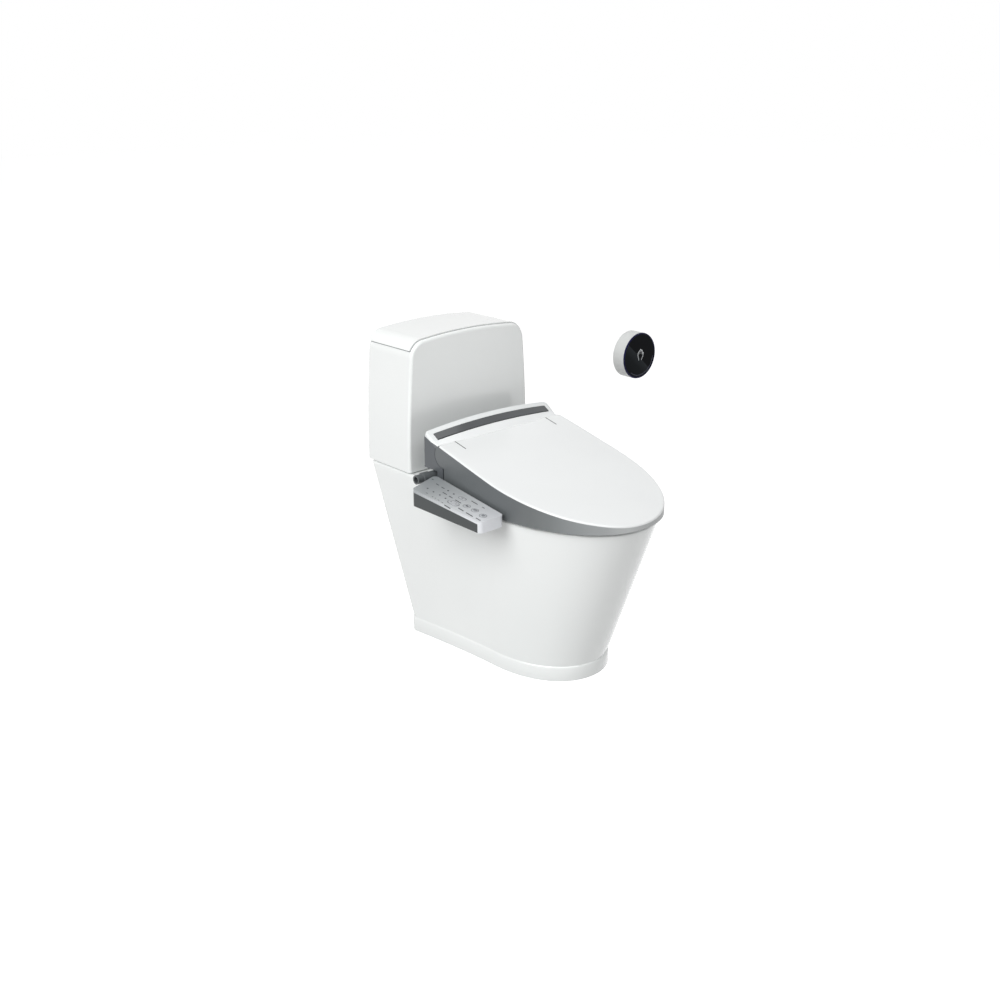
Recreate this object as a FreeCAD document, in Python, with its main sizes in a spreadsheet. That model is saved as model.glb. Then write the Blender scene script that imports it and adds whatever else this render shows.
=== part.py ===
import FreeCAD, Part
import math
import os
import re
import Sketcher

# Two-piece skirted toilet with a heated washing seat, a side control arm and a wall flush sensor.
# Millimetres. X to the viewer's right, the front faces -Y, Z up.
# The origin is on the floor, at the centre of the waste outlet.

Vector = FreeCAD.Vector
upward = Vector(0, 0, 1)
sideways = Vector(1, 0, 0)
backward = Vector(0, 1, 0)
doc = FreeCAD.newDocument("SmartToilet")
sizes = doc.addObject("Spreadsheet::Sheet", "Sizes")

driving_sizes = [
    # china base
    ("rough_in", 305, "outlet centre to the wall"),
    ("wall_gap", 15, "tank back to the wall"),
    ("band_tall", 36, "foot band height"),
    ("band_step", 2, "foot band stands proud by"),
    ("rim_top", 392, "rim above the floor"),
    ("deck_top", 415, "tank platform above the floor"),
    ("platform_front", 112, "front face of the platform"),
    ("foot_rear", 179, "foot back edge"),
    ("foot_front", 293, "foot tip, forward of the outlet"),
    ("foot_half_rear", 159, "foot half width at the back"),
    ("foot_half_mid", 137, "foot half width at the middle"),
    ("foot_mid", 100, "where the foot's rounded front starts"),
    ("top_half_rear", 184, "platform half width"),
    ("top_half_mid", 183, "rim half width"),
    ("top_mid", 150, "where the rim's rounded front starts"),
    ("top_front", 426, "skirt tip carried up to platform height"),
    ("corner_round", 24, "rear corner radius of the skirt"),
    ("china_wall", 13, "china thickness"),
    ("deck_thick", 26, "thickness of rim deck and platform"),
    ("basin_centre", 228, "basin centre, forward of the outlet"),
    ("basin_long", 157, "basin half length"),
    ("basin_wide", 124, "basin half width"),
    ("basin_floor", 112, "bottom of the sump"),
    ("trap_bore", 27, "trapway radius"),
    ("trap_wall", 9, "trapway wall"),
    ("trap_bend", 42, "trapway bend radius"),
    ("weir_high", 234, "trapway centre height over the weir"),
    ("flush_bore", 24, "flush channel radius"),
    ("flush_depth", 200, "tank outlet, behind the waste outlet"),
    ("bracket_stand", 103, "outer face of the floor brackets"),
    ("bracket_reach", 42, "floor bracket width"),
    ("bracket_front", 60, "front end of the floor brackets"),
    ("bracket_long", 40, "floor bracket length"),
    ("screw_round", 3.6, "floor screw radius"),
    # tank
    ("tank_front", 130, "tank front face"),
    ("tank_seam", 3, "gap between tank and platform"),
    ("tank_half_low", 184, "tank half width at the bottom"),
    ("tank_half_top", 168, "tank half width at the top"),
    ("arch_side", 717, "height of the arch at its ends"),
    ("arch_rise", 11, "rise of the arch at its middle"),
    ("lid_drop", 17, "tank lid's lower edge below the arch's ends"),
    ("tank_belly", 4, "sides of the tank bow out by"),
    ("shoulder_round", 42, "shoulder radius of the arch"),
    ("tank_edge", 7, "rounding of the tank's front and back edges"),
    ("tank_wall", 11, "tank wall thickness"),
    ("lip_thick", 8.5, "front wall that stands up before the lid"),
    ("lid_proud", 2.5, "tank lid stands proud of the tank by"),
    ("tank_bolt_gap", 75, "tank bolts from the centre plane"),
    ("tank_bolt_depth", 225, "tank bolts, behind the outlet"),
    ("tank_bolt_round", 4, "tank bolt radius"),
    ("fill_side", 128, "fill valve from the centre plane"),
    # washing seat: housing
    ("seat_bolt_gap", 70, "seat bolts from the centre plane"),
    ("seat_bolt_depth", 40, "seat bolts, behind the outlet"),
    ("seat_bolt_round", 4, "seat bolt radius"),
    ("housing_half", 188, "housing half width"),
    ("housing_rear", 73, "housing back face"),
    ("housing_low", 396, "underside of the housing"),
    ("housing_peak", 543, "top of the housing at the middle"),
    ("housing_crown", 11, "drop of the top towards its ends"),
    ("housing_wall", 3, "plastic wall thickness"),
    ("window_back", 51, "rear edge of the dark window"),
    ("window_fore", 39.5, "front edge of the dark window"),
    ("window_half", 172, "dark window half length"),
    ("hinge_depth", 5, "hinge axis, behind the outlet"),
    ("hinge_high", 490, "hinge axis above the floor"),
    ("knuckle", 26.6, "rounded rear end of the lid"),
    ("knuckle_gap", 1.4, "gap between lid and housing"),
    ("pin_thick", 4, "hinge pin radius"),
    ("pin_play", 0.05, "running clearance on the pin"),
    ("pin_long", 33, "hinge pin length"),
    ("damper_round", 9, "soft-close damper radius"),
    ("damper_long", 34, "soft-close damper length"),
    ("lug_near", 118, "inner face of the hinge lug"),
    ("lug_wide", 10, "hinge lug thickness"),
    ("ear_wide", 9, "hinge ear thickness"),
    # lid and seat
    ("lid_half_rear", 187, "lid half width at the back"),
    ("lid_half_mid", 190, "lid half width at the middle"),
    ("lid_mid", 150, "where the lid's rounded front starts"),
    ("lid_front", 427, "lid tip"),
    ("lid_low", 397.5, "lower edge of the lid"),
    ("lid_rear_top", 512, "lid top at its rear edge"),
    ("lid_wall", 4, "lid thickness"),
    ("seat_low", 399, "underside of the seat"),
    ("seat_split", 405, "joint between seat halves"),
    ("seat_hole_long", 133, "seat opening half length"),
    ("seat_hole_wide", 103, "seat opening half width"),
    ("seat_hole_centre", 238, "seat opening centre"),
    ("heater_thick", 1, "heating sheet thickness"),
    ("rest_gap", 0.2, "gap under the seat pads"),
    # nozzles
    ("nozzle_tilt", 25, "nozzle slope in degrees"),
    ("nozzle_side", 11, "nozzle from the centre plane"),
    ("nozzle_thick", 7, "nozzle radius"),
    ("nozzle_play", 0.1, "running clearance of the nozzle"),
    ("nozzle_long", 128, "nozzle length"),
    ("nozzle_tip_depth", 66, "nozzle tip, forward of the outlet"),
    ("nozzle_tip_high", 414, "nozzle tip above the floor"),
    # dryer
    ("blower_side", 112, "blower centre from the centre plane"),
    ("blower_high", 436, "blower centre above the floor"),
    ("blower_round", 32, "blower casing radius"),
    ("fan_round", 26, "fan wheel radius"),
    ("duct_near", 52, "inner side of the dryer duct"),
    ("duct_far", 92, "outer side of the dryer duct"),
    ("duct_front", 60, "front end of the dryer duct"),
    ("duct_tall", 24, "dryer duct height"),
    # control arm
    ("arm_near", 198, "inner side of the control arm"),
    ("arm_far_rear", 285, "outer side of the arm at the back"),
    ("arm_far_fore", 264, "outer side of the arm at the front"),
    ("arm_back", 20, "arm back edge at its inner side"),
    ("arm_skew", 28, "arm back edge slants forward by"),
    ("arm_front", 207, "arm front edge"),
    ("arm_top", 443, "height of the arm's top at the outlet"),
    ("arm_slope", 0.133, "fall of the top per unit forward"),
    ("arm_low", 404, "height of the arm's underside at the outlet"),
    ("arm_low_slope", 0.068, "fall of the underside per unit forward"),
    ("arm_cover", 7, "depth of the silver cover"),
    ("arm_wall", 2.5, "arm wall thickness"),
    ("key_proud", 0.9, "key stands above the cover by"),
    ("key_play", 0.35, "gap round a key"),
    # inlet
    ("inlet_depth", 42, "inlet axis, behind the outlet"),
    ("inlet_high", 437, "inlet axis above the floor"),
    ("thread_round", 10.48, "G1/2 thread outside radius"),
    # wall sensor
    ("sensor_side", 740, "sensor centre from the centre plane"),
    ("sensor_high", 521, "sensor centre above the floor"),
    ("sensor_round", 65, "sensor radius"),
    ("sensor_deep", 46, "sensor depth from the wall"),
]
for line, (alias, amount, meaning) in enumerate(driving_sizes, start=1):
    sizes.set("A%d" % line, meaning)
    sizes.set("B%d" % line, str(amount))
    sizes.setAlias("B%d" % line, alias)
doc.recompute()

aliases = {alias for alias, amount, meaning in driving_sizes}
word = re.compile(r"[a-z_]+")
nodes = {}


def size(alias):
    return float(sizes.get(alias))


def in_full(found):
    name = found.group(0)
    return "Sizes." + name if name in aliases else name


def formula(text):
    # sizes are written in plain words, and each gets the sheet's name before it
    return word.sub(in_full, str(text))


def bind(item, prop, text):
    item.setExpression(prop, formula(text))


def keep(name, item):
    # registers a finished sub-part under its node name
    item.Label = name
    nodes[name] = item
    return item


# ---------------------------------------------------------------- parametric helpers


def cylinder(name, radius, length, at_x, at_y, at_z, axis=upward):
    item = doc.addObject("Part::Cylinder", name)
    bind(item, "Radius", radius)
    bind(item, "Height", length)
    item.Placement = FreeCAD.Placement(Vector(), FreeCAD.Rotation(upward, axis))
    for prop, text in zip("xyz", (at_x, at_y, at_z)):
        bind(item, "Placement.Base." + prop, text)
    return item


def fused(name, shapes):
    item = doc.addObject("Part::MultiFuse", name)
    item.Shapes = shapes
    return item


def body(name):
    item = doc.addObject("PartDesign::Body", name.title().replace("_", ""))
    keep(name, item)
    return item


def place(item, at_x, at_y, at_z):
    for prop, text in zip("xyz", (at_x, at_y, at_z)):
        bind(item, "Placement.Base." + prop, text)


def sketch_on(part, role, level):
    sketch = part.newObject("Sketcher::SketchObject", part.Name + "Sketch")
    plane = [datum for datum in part.Origin.OriginFeatures if datum.Role == role][0]
    sketch.AttachmentSupport = (plane, [""])
    sketch.MapMode = "FlatFace"
    bind(sketch, "AttachmentOffset.Base.z", level)
    return sketch


def pin_point(sketch, element, point, across, along):
    # holds one sketch point at its two distances from the sketch origin
    for kind, text in (("DistanceX", across), ("DistanceY", along)):
        index = sketch.addConstraint(Sketcher.Constraint(kind, -1, 1, element, point, 10.0))
        sketch.setExpression("Constraints[%d]" % index, formula(text))


def polygon(part, role, level, corners):
    sketch = sketch_on(part, role, level)
    count = len(corners)
    spread = 50.0
    turns = [2 * math.pi * index / count for index in range(count)]
    start = [Vector(spread * math.cos(turn), spread * math.sin(turn), 0) for turn in turns]
    for index in range(count):
        sketch.addGeometry(Part.LineSegment(start[index], start[(index + 1) % count]), False)
    for index in range(count):
        sketch.addConstraint(Sketcher.Constraint("Coincident", index, 2, (index + 1) % count, 1))
    for index, (across, along) in enumerate(corners):
        pin_point(sketch, index, 1, across, along)
    return sketch


def rectangle(part, role, level, low_u, low_v, high_u, high_v):
    corners = [(low_u, low_v), (high_u, low_v), (high_u, high_v), (low_u, high_v)]
    return polygon(part, role, level, corners)


def circles(part, role, level, rounds):
    sketch = sketch_on(part, role, level)
    for index, (across, along, radius) in enumerate(rounds):
        sketch.addGeometry(Part.Circle(Vector(20 * index, 0, 0), upward, 5), False)
        pin_point(sketch, index, 3, across, along)
        held = sketch.addConstraint(Sketcher.Constraint("Radius", index, 5.0))
        sketch.setExpression("Constraints[%d]" % held, formula(radius))
    return sketch


def pad(part, sketch, length):
    feature = part.newObject("PartDesign::Pad", part.Name + "Pad")
    feature.Profile = sketch
    bind(feature, "Length", length)
    part.Tip = feature
    return feature


def pocket(part, sketch, length):
    feature = part.newObject("PartDesign::Pocket", part.Name + "Pocket")
    feature.Profile = sketch
    bind(feature, "Length", length)
    part.Tip = feature
    return feature


def turned(part, role, corners):
    sketch = polygon(part, role, 0, corners)
    feature = part.newObject("PartDesign::Revolution", part.Name + "Turn")
    feature.Profile = sketch
    feature.ReferenceAxis = (sketch, ["V_Axis"])
    feature.Angle = 360
    part.Tip = feature
    return feature


def polar(part, feature, count):
    axis = [datum for datum in part.Origin.OriginFeatures if datum.Role == "Z_Axis"][0]
    pattern = part.newObject("PartDesign::PolarPattern", part.Name + "Pattern")
    pattern.Originals = [feature]
    pattern.Axis = (axis, [""])
    pattern.Angle = 360
    pattern.Occurrences = count
    part.Tip = pattern
    return pattern


# ---------------------------------------------------------------- freeform helpers


def solid_node(name, shape):
    item = doc.addObject("Part::Feature", name)
    item.Shape = shape
    return keep(name, item)


def block(low_x, low_y, low_z, high_x, high_y, high_z):
    low = Vector(low_x, low_y, low_z)
    return Part.makeBox(high_x - low_x, high_y - low_y, high_z - low_z, low)


def rod(radius, start, end):
    run = end - start
    return Part.makeCylinder(radius, run.Length, start, run)


def signed_power(amount, power):
    return math.copysign(abs(amount) ** power, amount)


def front_round(half, middle, tip, roundness, count=14):
    # points of a superellipse from the left side round the front tip to the right side
    points = []
    for step in range(count + 1):
        turn = math.pi * step / count
        across = -half * signed_power(math.cos(turn), 2 / roundness)
        forward = middle - (middle - tip) * signed_power(math.sin(turn), 2 / roundness)
        points.append((across, forward))
    return points


def plan_wire(rear, half_rear, middle, half_mid, tip, level, corner, roundness=2.12, count=4):
    # D-shaped plan: straight rear edge, two corner arcs and one smooth curve round the front
    side = []
    for step in range(count):
        share = 1 - step / count
        along = middle + (rear - corner - middle) * share
        side.append((half_mid + (half_rear - half_mid) * share ** 1.5, along))
    left = [(-across, along) for across, along in side]
    right = list(reversed(side))
    outline = left + front_round(half_mid, middle, tip, roundness) + right
    curve = Part.BSplineCurve()
    curve.interpolate([Vector(across, along, level) for across, along in outline])
    lean = corner * (1 - math.sqrt(0.5))
    inner = half_rear - corner
    left_arc = Part.Arc(
        Vector(-inner, rear, level),
        Vector(lean - half_rear, rear - lean, level),
        Vector(-half_rear, rear - corner, level),
    )
    right_arc = Part.Arc(
        Vector(half_rear, rear - corner, level),
        Vector(half_rear - lean, rear - lean, level),
        Vector(inner, rear, level),
    )
    back = Part.LineSegment(Vector(inner, rear, level), Vector(-inner, rear, level))
    return Part.Wire([left_arc.toShape(), curve.toShape(), right_arc.toShape(), back.toShape()])


def oval_wire(centre, half_long, half_wide, level, roundness=2.1, count=24):
    points = []
    for step in range(count):
        turn = 2 * math.pi * step / count
        across = half_wide * signed_power(math.cos(turn), 2 / roundness)
        along = centre + half_long * signed_power(math.sin(turn), 2 / roundness)
        points.append(Vector(across, along, level))
    curve = Part.BSplineCurve()
    curve.interpolate(points, PeriodicFlag=True)
    return Part.Wire([curve.toShape()])


def prism(wire, run):
    return Part.Face(wire).extrude(run)


def side_prism(points, half):
    # closed outline in the YZ plane carried across X
    corners = [Vector(-half, along, high) for along, high in points]
    return prism(Part.makePolygon(corners + corners[:1]), Vector(2 * half, 0, 0))


def below_curve(points, floor, half):
    # everything under a smooth side-view curve, carried across X
    curve = Part.BSplineCurve()
    curve.interpolate([Vector(-half, along, high) for along, high in points])
    first = Vector(-half, points[0][0], floor)
    last = Vector(-half, points[-1][0], floor)
    start = curve.StartPoint
    end = curve.EndPoint
    sides = [Part.LineSegment(end, last), Part.LineSegment(last, first), Part.LineSegment(first, start)]
    wire = Part.Wire([curve.toShape()] + [side.toShape() for side in sides])
    return prism(wire, Vector(2 * half, 0, 0))


def pipe(points, bend, radius):
    # round tube along straight runs joined by tangent arcs, in the YZ plane
    corners = [Vector(0, along, high) for along, high in points]
    edges = []
    start = corners[0]
    for before, corner, after in zip(corners, corners[1:], corners[2:]):
        inward = (before - corner).normalize()
        outward = (after - corner).normalize()
        half_turn = (math.pi - inward.getAngle(outward)) / 2
        reach = bend * math.tan(half_turn)
        first = corner + inward * reach
        second = corner + outward * reach
        middle_way = (inward + outward).normalize()
        middle = corner + middle_way * (bend / math.cos(half_turn) - bend)
        edges.append(Part.LineSegment(start, first).toShape())
        edges.append(Part.Arc(first, middle, second).toShape())
        start = second
    edges.append(Part.LineSegment(start, corners[-1]).toShape())
    heading = corners[1] - corners[0]
    ring = Part.Wire([Part.makeCircle(radius, corners[0], heading)])
    return Part.Wire(edges).makePipeShell([ring], True, True)


# ---------------------------------------------------------------- china base

tank_back = size("rough_in") - size("wall_gap")
tank_low = size("deck_top") + size("tank_seam")
wall = size("china_wall")


def skirt_wire(level, inset):
    # plan of the leaning skirt at one height, drawn in by the inset
    share = max(0.0, (level - size("band_tall")) / (size("deck_top") - size("band_tall")))

    def between(low, high):
        return low + (high - low) * share

    rear = between(size("foot_rear"), tank_back) - inset
    half_rear = between(size("foot_half_rear"), size("top_half_rear")) - inset
    middle = -between(size("foot_mid"), size("top_mid"))
    half_mid = between(size("foot_half_mid"), size("top_half_mid")) - inset
    tip = -between(size("foot_front"), size("top_front")) + inset
    return plan_wire(rear, half_rear, middle, half_mid, tip, level, size("corner_round"))


def skirt(low, high, low_inset, high_inset):
    return Part.makeLoft([skirt_wire(low, low_inset), skirt_wire(high, high_inset)], True, True)


def basin(grow):
    # the bowl as a loft of ovals, larger by the wall for its outside
    stations = ((1.0, 1.0, 0), (0.72, 0.92, 3), (0.42, 0.7, 10), (0.16, 0.42, 22), (0.0, 0.27, 30))
    deep = size("rim_top") - size("basin_floor")
    rings = []
    for share, scale, shift in stations:
        level = size("basin_floor") - grow + (deep + grow) * share
        centre = shift - size("basin_centre")
        half_long = size("basin_long") * scale + grow
        half_wide = size("basin_wide") * scale + grow
        rings.append(oval_wire(centre, half_long, half_wide, level))
    return Part.makeLoft(rings, True, False)


trap_route = [
    (-190, 141),
    (-112, 141),
    (-76, size("weir_high")),
    (0, size("weir_high")),
    (0, 0),
]
flush_drop = size("deck_top") - size("deck_thick")
flush_high = size("rim_top") - size("deck_thick") - size("flush_bore") - 8
flush_route = [(size("flush_depth"), flush_drop), (size("flush_depth"), flush_high), (-96, flush_high)]
flush_bend = 44
basin_outside = basin(wall)
basin_inside = basin(0)


outlet_top = size("weir_high") - size("trap_bend")
under_rim = size("rim_top") - size("deck_thick")


def china_shell():
    high = size("deck_top")
    band = size("band_tall")
    outside = skirt(0, band, 0, 0).fuse(skirt(band, high, size("band_step"), 0))
    step_down = block(-300, -500, size("rim_top"), 300, size("platform_front"), high + 5)
    shape = outside.cut(step_down).cut(basin_outside)
    outlet_y = size("flush_depth")
    holes = [
        (0, outlet_y, size("flush_bore") + 6),
        (-size("fill_side"), outlet_y, size("thread_round") + 6.5),
    ]
    for side in (-1, 1):
        holes.append((side * size("tank_bolt_gap"), size("tank_bolt_depth"), size("tank_bolt_round") + 1.5))
        holes.append((side * size("seat_bolt_gap"), size("seat_bolt_depth"), size("seat_bolt_round") + 4))
    for across, along, radius in holes:
        shape = shape.cut(rod(radius, Vector(across, along, 300), Vector(across, along, 450)))
    return shape


def china_hollow():
    band = size("band_tall")
    inset = wall + size("band_step")
    hollow = skirt(0, band, 2 * wall, inset).fuse(skirt(band, under_rim, inset, wall))
    rear = skirt(under_rim, size("deck_top") - size("deck_thick"), wall, wall)
    return hollow.fuse(rear.common(block(-300, size("platform_front") + wall, 0, 300, 400, 500)))


def pedestal_skirt():
    band = size("band_tall")
    near = size("bracket_stand")
    far = near + 18
    front = -size("bracket_front") - 2
    back = front + size("bracket_long") + 4
    lugs = [block(-far, front, 0, -near, back, band), block(near, front, 0, far, back, band)]
    return pedestal_china.common(below_rim).fuse(lugs).removeSplitter()


def bowl_basin():
    shape = basin_outside.cut(basin_inside)
    shape = shape.cut(pipe(trap_route, size("trap_bend"), size("trap_bore")))
    shape = shape.cut(pipe(flush_route, flush_bend, size("flush_bore")))
    mouth = oval_wire(-size("basin_centre"), size("basin_long"), size("basin_wide"), size("rim_top") - 1)
    return shape.cut(prism(mouth, Vector(0, 0, 3)))


def china_pipe(route, bend, bore, thick):
    return pipe(route, bend, bore + thick).cut(pipe(route, bend, bore)).cut(basin_outside)


pedestal_china = china_shell().cut(china_hollow())
below_rim = block(-300, -500, -5, 300, 400, under_rim)
trap_pipe = china_pipe(trap_route, size("trap_bend"), size("trap_bore"), size("trap_wall"))
flush_pipe = china_pipe(flush_route, flush_bend, size("flush_bore"), 6)
outlet_room = block(-60, -40, -5, 60, 60, outlet_top)
china_ways = [trap_pipe.cut(outlet_room), trap_pipe.common(outlet_room), flush_pipe]
solid_node("pedestal_skirt", pedestal_skirt())
solid_node("rim_deck", pedestal_china.cut(below_rim))
solid_node("bowl_basin", bowl_basin())
solid_node("water_ways", Part.makeCompound(china_ways))

# ---------------------------------------------------------------- tank and its lid


lid_seam = size("arch_side") - size("lid_drop")


def arch_wire(inset, low, depth):
    # front view of the tank: sides lean in and bow a little, the top is a shallow arch
    lean = (size("tank_half_low") - size("tank_half_top")) / (size("arch_side") - tank_low)
    low_half = size("tank_half_low") - lean * (low - tank_low) - inset
    high_half = size("tank_half_top") - inset
    side = size("arch_side") - inset
    foot_left = Vector(-low_half, depth, low)
    foot_right = Vector(low_half, depth, low)
    head_left = Vector(-high_half, depth, side)
    head_right = Vector(high_half, depth, side)
    crown = Part.Arc(head_right, Vector(0, depth, side + size("arch_rise")), head_left)
    belly_half = (low_half + high_half) / 2 + size("tank_belly")
    belly_high = (low + side) / 2
    right = Part.Arc(foot_right, Vector(belly_half, depth, belly_high), head_right)
    left = Part.Arc(head_left, Vector(-belly_half, depth, belly_high), foot_left)
    bottom = Part.LineSegment(foot_left, foot_right)
    return Part.Wire([line.toShape() for line in (bottom, right, crown, left)])


def arch_solid(inset, low, front, back, edge_round):
    shape = prism(arch_wire(inset, low, front), Vector(0, back - front, 0))
    shoulders = []
    for edge in shape.Edges:
        ends = [vertex.Point for vertex in edge.Vertexes]
        if len(ends) == 2 and abs(ends[0].y - ends[1].y) > 10 and ends[0].z > lid_seam:
            shoulders.append(edge)
    shape = shape.makeFillet(size("shoulder_round") - inset, shoulders)
    if edge_round:
        rims = []
        for edge in shape.Edges:
            bounds = edge.BoundBox
            if bounds.YLength < 0.01 and bounds.ZMax > low + 1:
                rims.append(edge)
        shape = shape.makeFillet(edge_round, rims)
    return shape


def tank_body():
    front = size("tank_front")
    seam = lid_seam
    shell = arch_solid(0, tank_low, front, tank_back, size("tank_edge"))
    over = block(-300, front + size("lip_thick"), seam, 300, tank_back + 5, 900)
    inner_back = tank_back - size("tank_wall")
    inside = arch_solid(size("tank_wall"), tank_low + 14, front + size("lip_thick"), inner_back, 0)
    shape = shell.cut(over).cut(inside)
    deep = size("flush_depth")
    bolt_gap = size("tank_bolt_gap")
    bolt_deep = size("tank_bolt_depth")
    bolt_hole = size("tank_bolt_round") + 1
    for across, along, radius in (
        (0, deep, 33),
        (-size("fill_side"), deep, size("thread_round") + 0.6),
        (-bolt_gap, bolt_deep, bolt_hole),
        (bolt_gap, bolt_deep, bolt_hole),
    ):
        spot = Vector(across, along, tank_low - 5)
        shape = shape.cut(rod(radius, spot, spot + Vector(0, 0, 25)))
    return shape


def tank_lid():
    front = size("tank_front") + size("lip_thick") + 0.8
    seam = lid_seam
    proud = size("lid_proud")
    back = tank_back + 1.5
    shell = arch_solid(-proud, tank_low, front, back, 0)
    shell = shell.common(block(-300, 0, seam, 300, 400, 900))
    inside = arch_solid(size("tank_wall") - 1, tank_low, front + 8, back - 9, 0)
    shape = shell.cut(inside)
    # two ribs inside the lid's walls reach down inside the tank's walls
    rib_front = front + 9
    rib_back = tank_back - size("tank_wall") - 1
    upper = arch_solid(size("tank_wall") / 2, tank_low, rib_front, rib_back, 0)
    upper = upper.common(block(-300, 0, seam, 300, 400, seam + 8))
    lower = arch_solid(size("tank_wall") + 1.5, tank_low, rib_front, rib_back, 0)
    lower = lower.common(block(-300, 0, seam - 8, 300, 400, seam))
    room = size("tank_half_top") - 28
    return shape.fuse(upper.fuse(lower).cut(block(-room, 0, 0, room, 600, 900)))


solid_node("tank_body", tank_body())
solid_node("tank_lid", tank_lid())

# ---------------------------------------------------------------- tank fittings

outlet = "flush_depth"
tank_floor = "deck_top + tank_seam"
deck_under = "deck_top - deck_thick"

gasket = body("tank_gasket")
pad(gasket, circles(gasket, "XY_Plane", "deck_top", [(0, outlet, 46), (0, outlet, 33)]), "tank_seam")
for side in ("-", ""):
    for along, radius in ((170, 12), (265, 9)):
        spot = circles(gasket, "XY_Plane", "deck_top", [(side + "140", along, radius)])
        pad(gasket, spot, "tank_seam")

bolts = body("tank_bolts")
for side in ("-", ""):
    across = side + "tank_bolt_gap"
    along = "tank_bolt_depth"
    shank = circles(bolts, "XY_Plane", deck_under + " - 14", [(across, along, "tank_bolt_round")])
    pad(bolts, shank, "deck_thick + tank_seam + 34")
    head = circles(bolts, "XY_Plane", tank_floor + " + 14", [(across, along, "tank_bolt_round + 5")])
    pad(bolts, head, 5)
    nut = circles(bolts, "XY_Plane", deck_under + " - 8", [(across, along, "tank_bolt_round + 7")])
    pad(bolts, nut, 8)

tower = body("flush_tower")
turned(tower, "XZ_Plane", [
    (24, -2.5), (32.5, -2.5), (32.5, 14), (44, 14), (44, 20), (34, 20), (34, 26), (24, 26),
])
place(tower, 0, outlet, tank_floor)
for turn in range(3):
    angle = math.radians(90 + 120 * turn)
    strut = (round(31 * math.cos(angle), 3), round(31 * math.sin(angle), 3), 2.6)
    pad(tower, circles(tower, "XY_Plane", 25, [strut]), 156)
pad(tower, circles(tower, "XY_Plane", 180, [(0, 0, 34), (0, 0, 9)]), 6)
pad(tower, rectangle(tower, "XY_Plane", 180, 30, -26, 146, 26), 6)

canister = body("flush_canister")
turned(canister, "XZ_Plane", [
    (0, 26.4), (27.4, 26.4), (27.4, 30), (23, 36), (23, 120), (8, 128), (8, 219.3),
    (13, 219.3), (13, 226), (5, 226), (5, 134), (0, 134),
])
place(canister, 0, outlet, tank_floor)

locknuts = body("tank_locknuts")
nut_rounds = [("-fill_side", outlet, 21), ("-fill_side", outlet, "thread_round - 0.3")]
pad(locknuts, circles(locknuts, "XY_Plane", deck_under + " - 12", nut_rounds), 12)

fill_valve = body("fill_valve")
turned(fill_valve, "XZ_Plane", [
    (5, -62), ("thread_round", -62), ("thread_round", -41), ("thread_round - 0.3", -41),
    ("thread_round - 0.3", 14), (19, 14), (19, 20), (13, 26),
    (13, 205), (21, 212), (21, 246), (0, 246), (0, 200), (5, 196),
])
place(fill_valve, "-fill_side", outlet, tank_floor)

float_cup = body("fill_float")
turned(float_cup, "XZ_Plane", [
    (13.4, 130), (33, 130), (33, 190), (29, 196), (13.4, 196), (13.4, 190), (27, 190), (27, 136), (13.4, 136),
])
place(float_cup, "-fill_side", outlet, tank_floor)

actuator = body("flush_actuator")
pad(actuator, rectangle(actuator, "XY_Plane", 0, 46, -25, 92, 25), 54)
for level in (14, -18):
    pad(actuator, rectangle(actuator, "XZ_Plane", level, 32, 20, 48, 36), 4)
pad(actuator, circles(actuator, "XZ_Plane", -18, [(38, 28, 4)]), 36)
place(actuator, 0, outlet, tank_floor + " + 186")

receiver = body("receiver_box")
pad(receiver, rectangle(receiver, "XY_Plane", 0, 95, -25, 141, 25), 46)
place(receiver, 0, outlet, tank_floor + " + 186")

lever = body("flush_lever")
pad(lever, circles(lever, "XZ_Plane", -13, [(0, 0, 7)]), 26)
for level in (9, -13):
    pad(lever, rectangle(lever, "XZ_Plane", level, -44, -5, 0, 5), 4)
pocket(lever, circles(lever, "XZ_Plane", 14, [(0, 0, "4 + pin_play")]), 28)
place(lever, 38, outlet, tank_floor + " + 214")

# ---------------------------------------------------------------- floor fixing

seal = body("outlet_seal")
seal_rounds = [(0, 0, "trap_bore + trap_wall + 16"), (0, 0, "trap_bore + trap_wall")]
pad(seal, circles(seal, "XY_Plane", 0, seal_rounds), 24)

# an angle bracket stands against a lug inside the foot on each side
brackets = body("floor_brackets")
screws = body("floor_screws")
bracket_back = "bracket_long - bracket_front"
for side in ("-", ""):
    stand = side + "bracket_stand"
    inner = side + "(bracket_stand - bracket_reach)"
    upright = side + "(bracket_stand - 4)"
    middle = side + "(bracket_stand - 0.5 * bracket_reach)"
    along = "0.5 * bracket_long - bracket_front"
    pad(brackets, rectangle(brackets, "XY_Plane", 0, inner, "-bracket_front", stand, bracket_back), 4)
    pad(brackets, rectangle(brackets, "XY_Plane", 0, upright, "-bracket_front", stand, bracket_back), 30)
    hole = circles(brackets, "XY_Plane", 5, [(middle, along, "screw_round")])
    pocket(brackets, hole, 6)
    pad(screws, circles(screws, "XY_Plane", 0, [(middle, along, "screw_round")]), 5)
    pad(screws, circles(screws, "XY_Plane", 4, [(middle, along, "screw_round + 4.4")]), 5)

# ---------------------------------------------------------------- washing seat housing

mounting_plate = body("seat_mounting_plate")
plate_plan = rectangle(
    mounting_plate, "XY_Plane", "rim_top",
    "-seat_bolt_gap - 25", "seat_bolt_depth - 28", "seat_bolt_gap + 25", "seat_bolt_depth + 26",
)
pad(mounting_plate, plate_plan, "housing_low - rim_top")
bolt_holes = [(side + "seat_bolt_gap", "seat_bolt_depth", "seat_bolt_round") for side in ("-", "")]
pocket(mounting_plate, circles(mounting_plate, "XY_Plane", "housing_low + 1", bolt_holes), 8)

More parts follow.
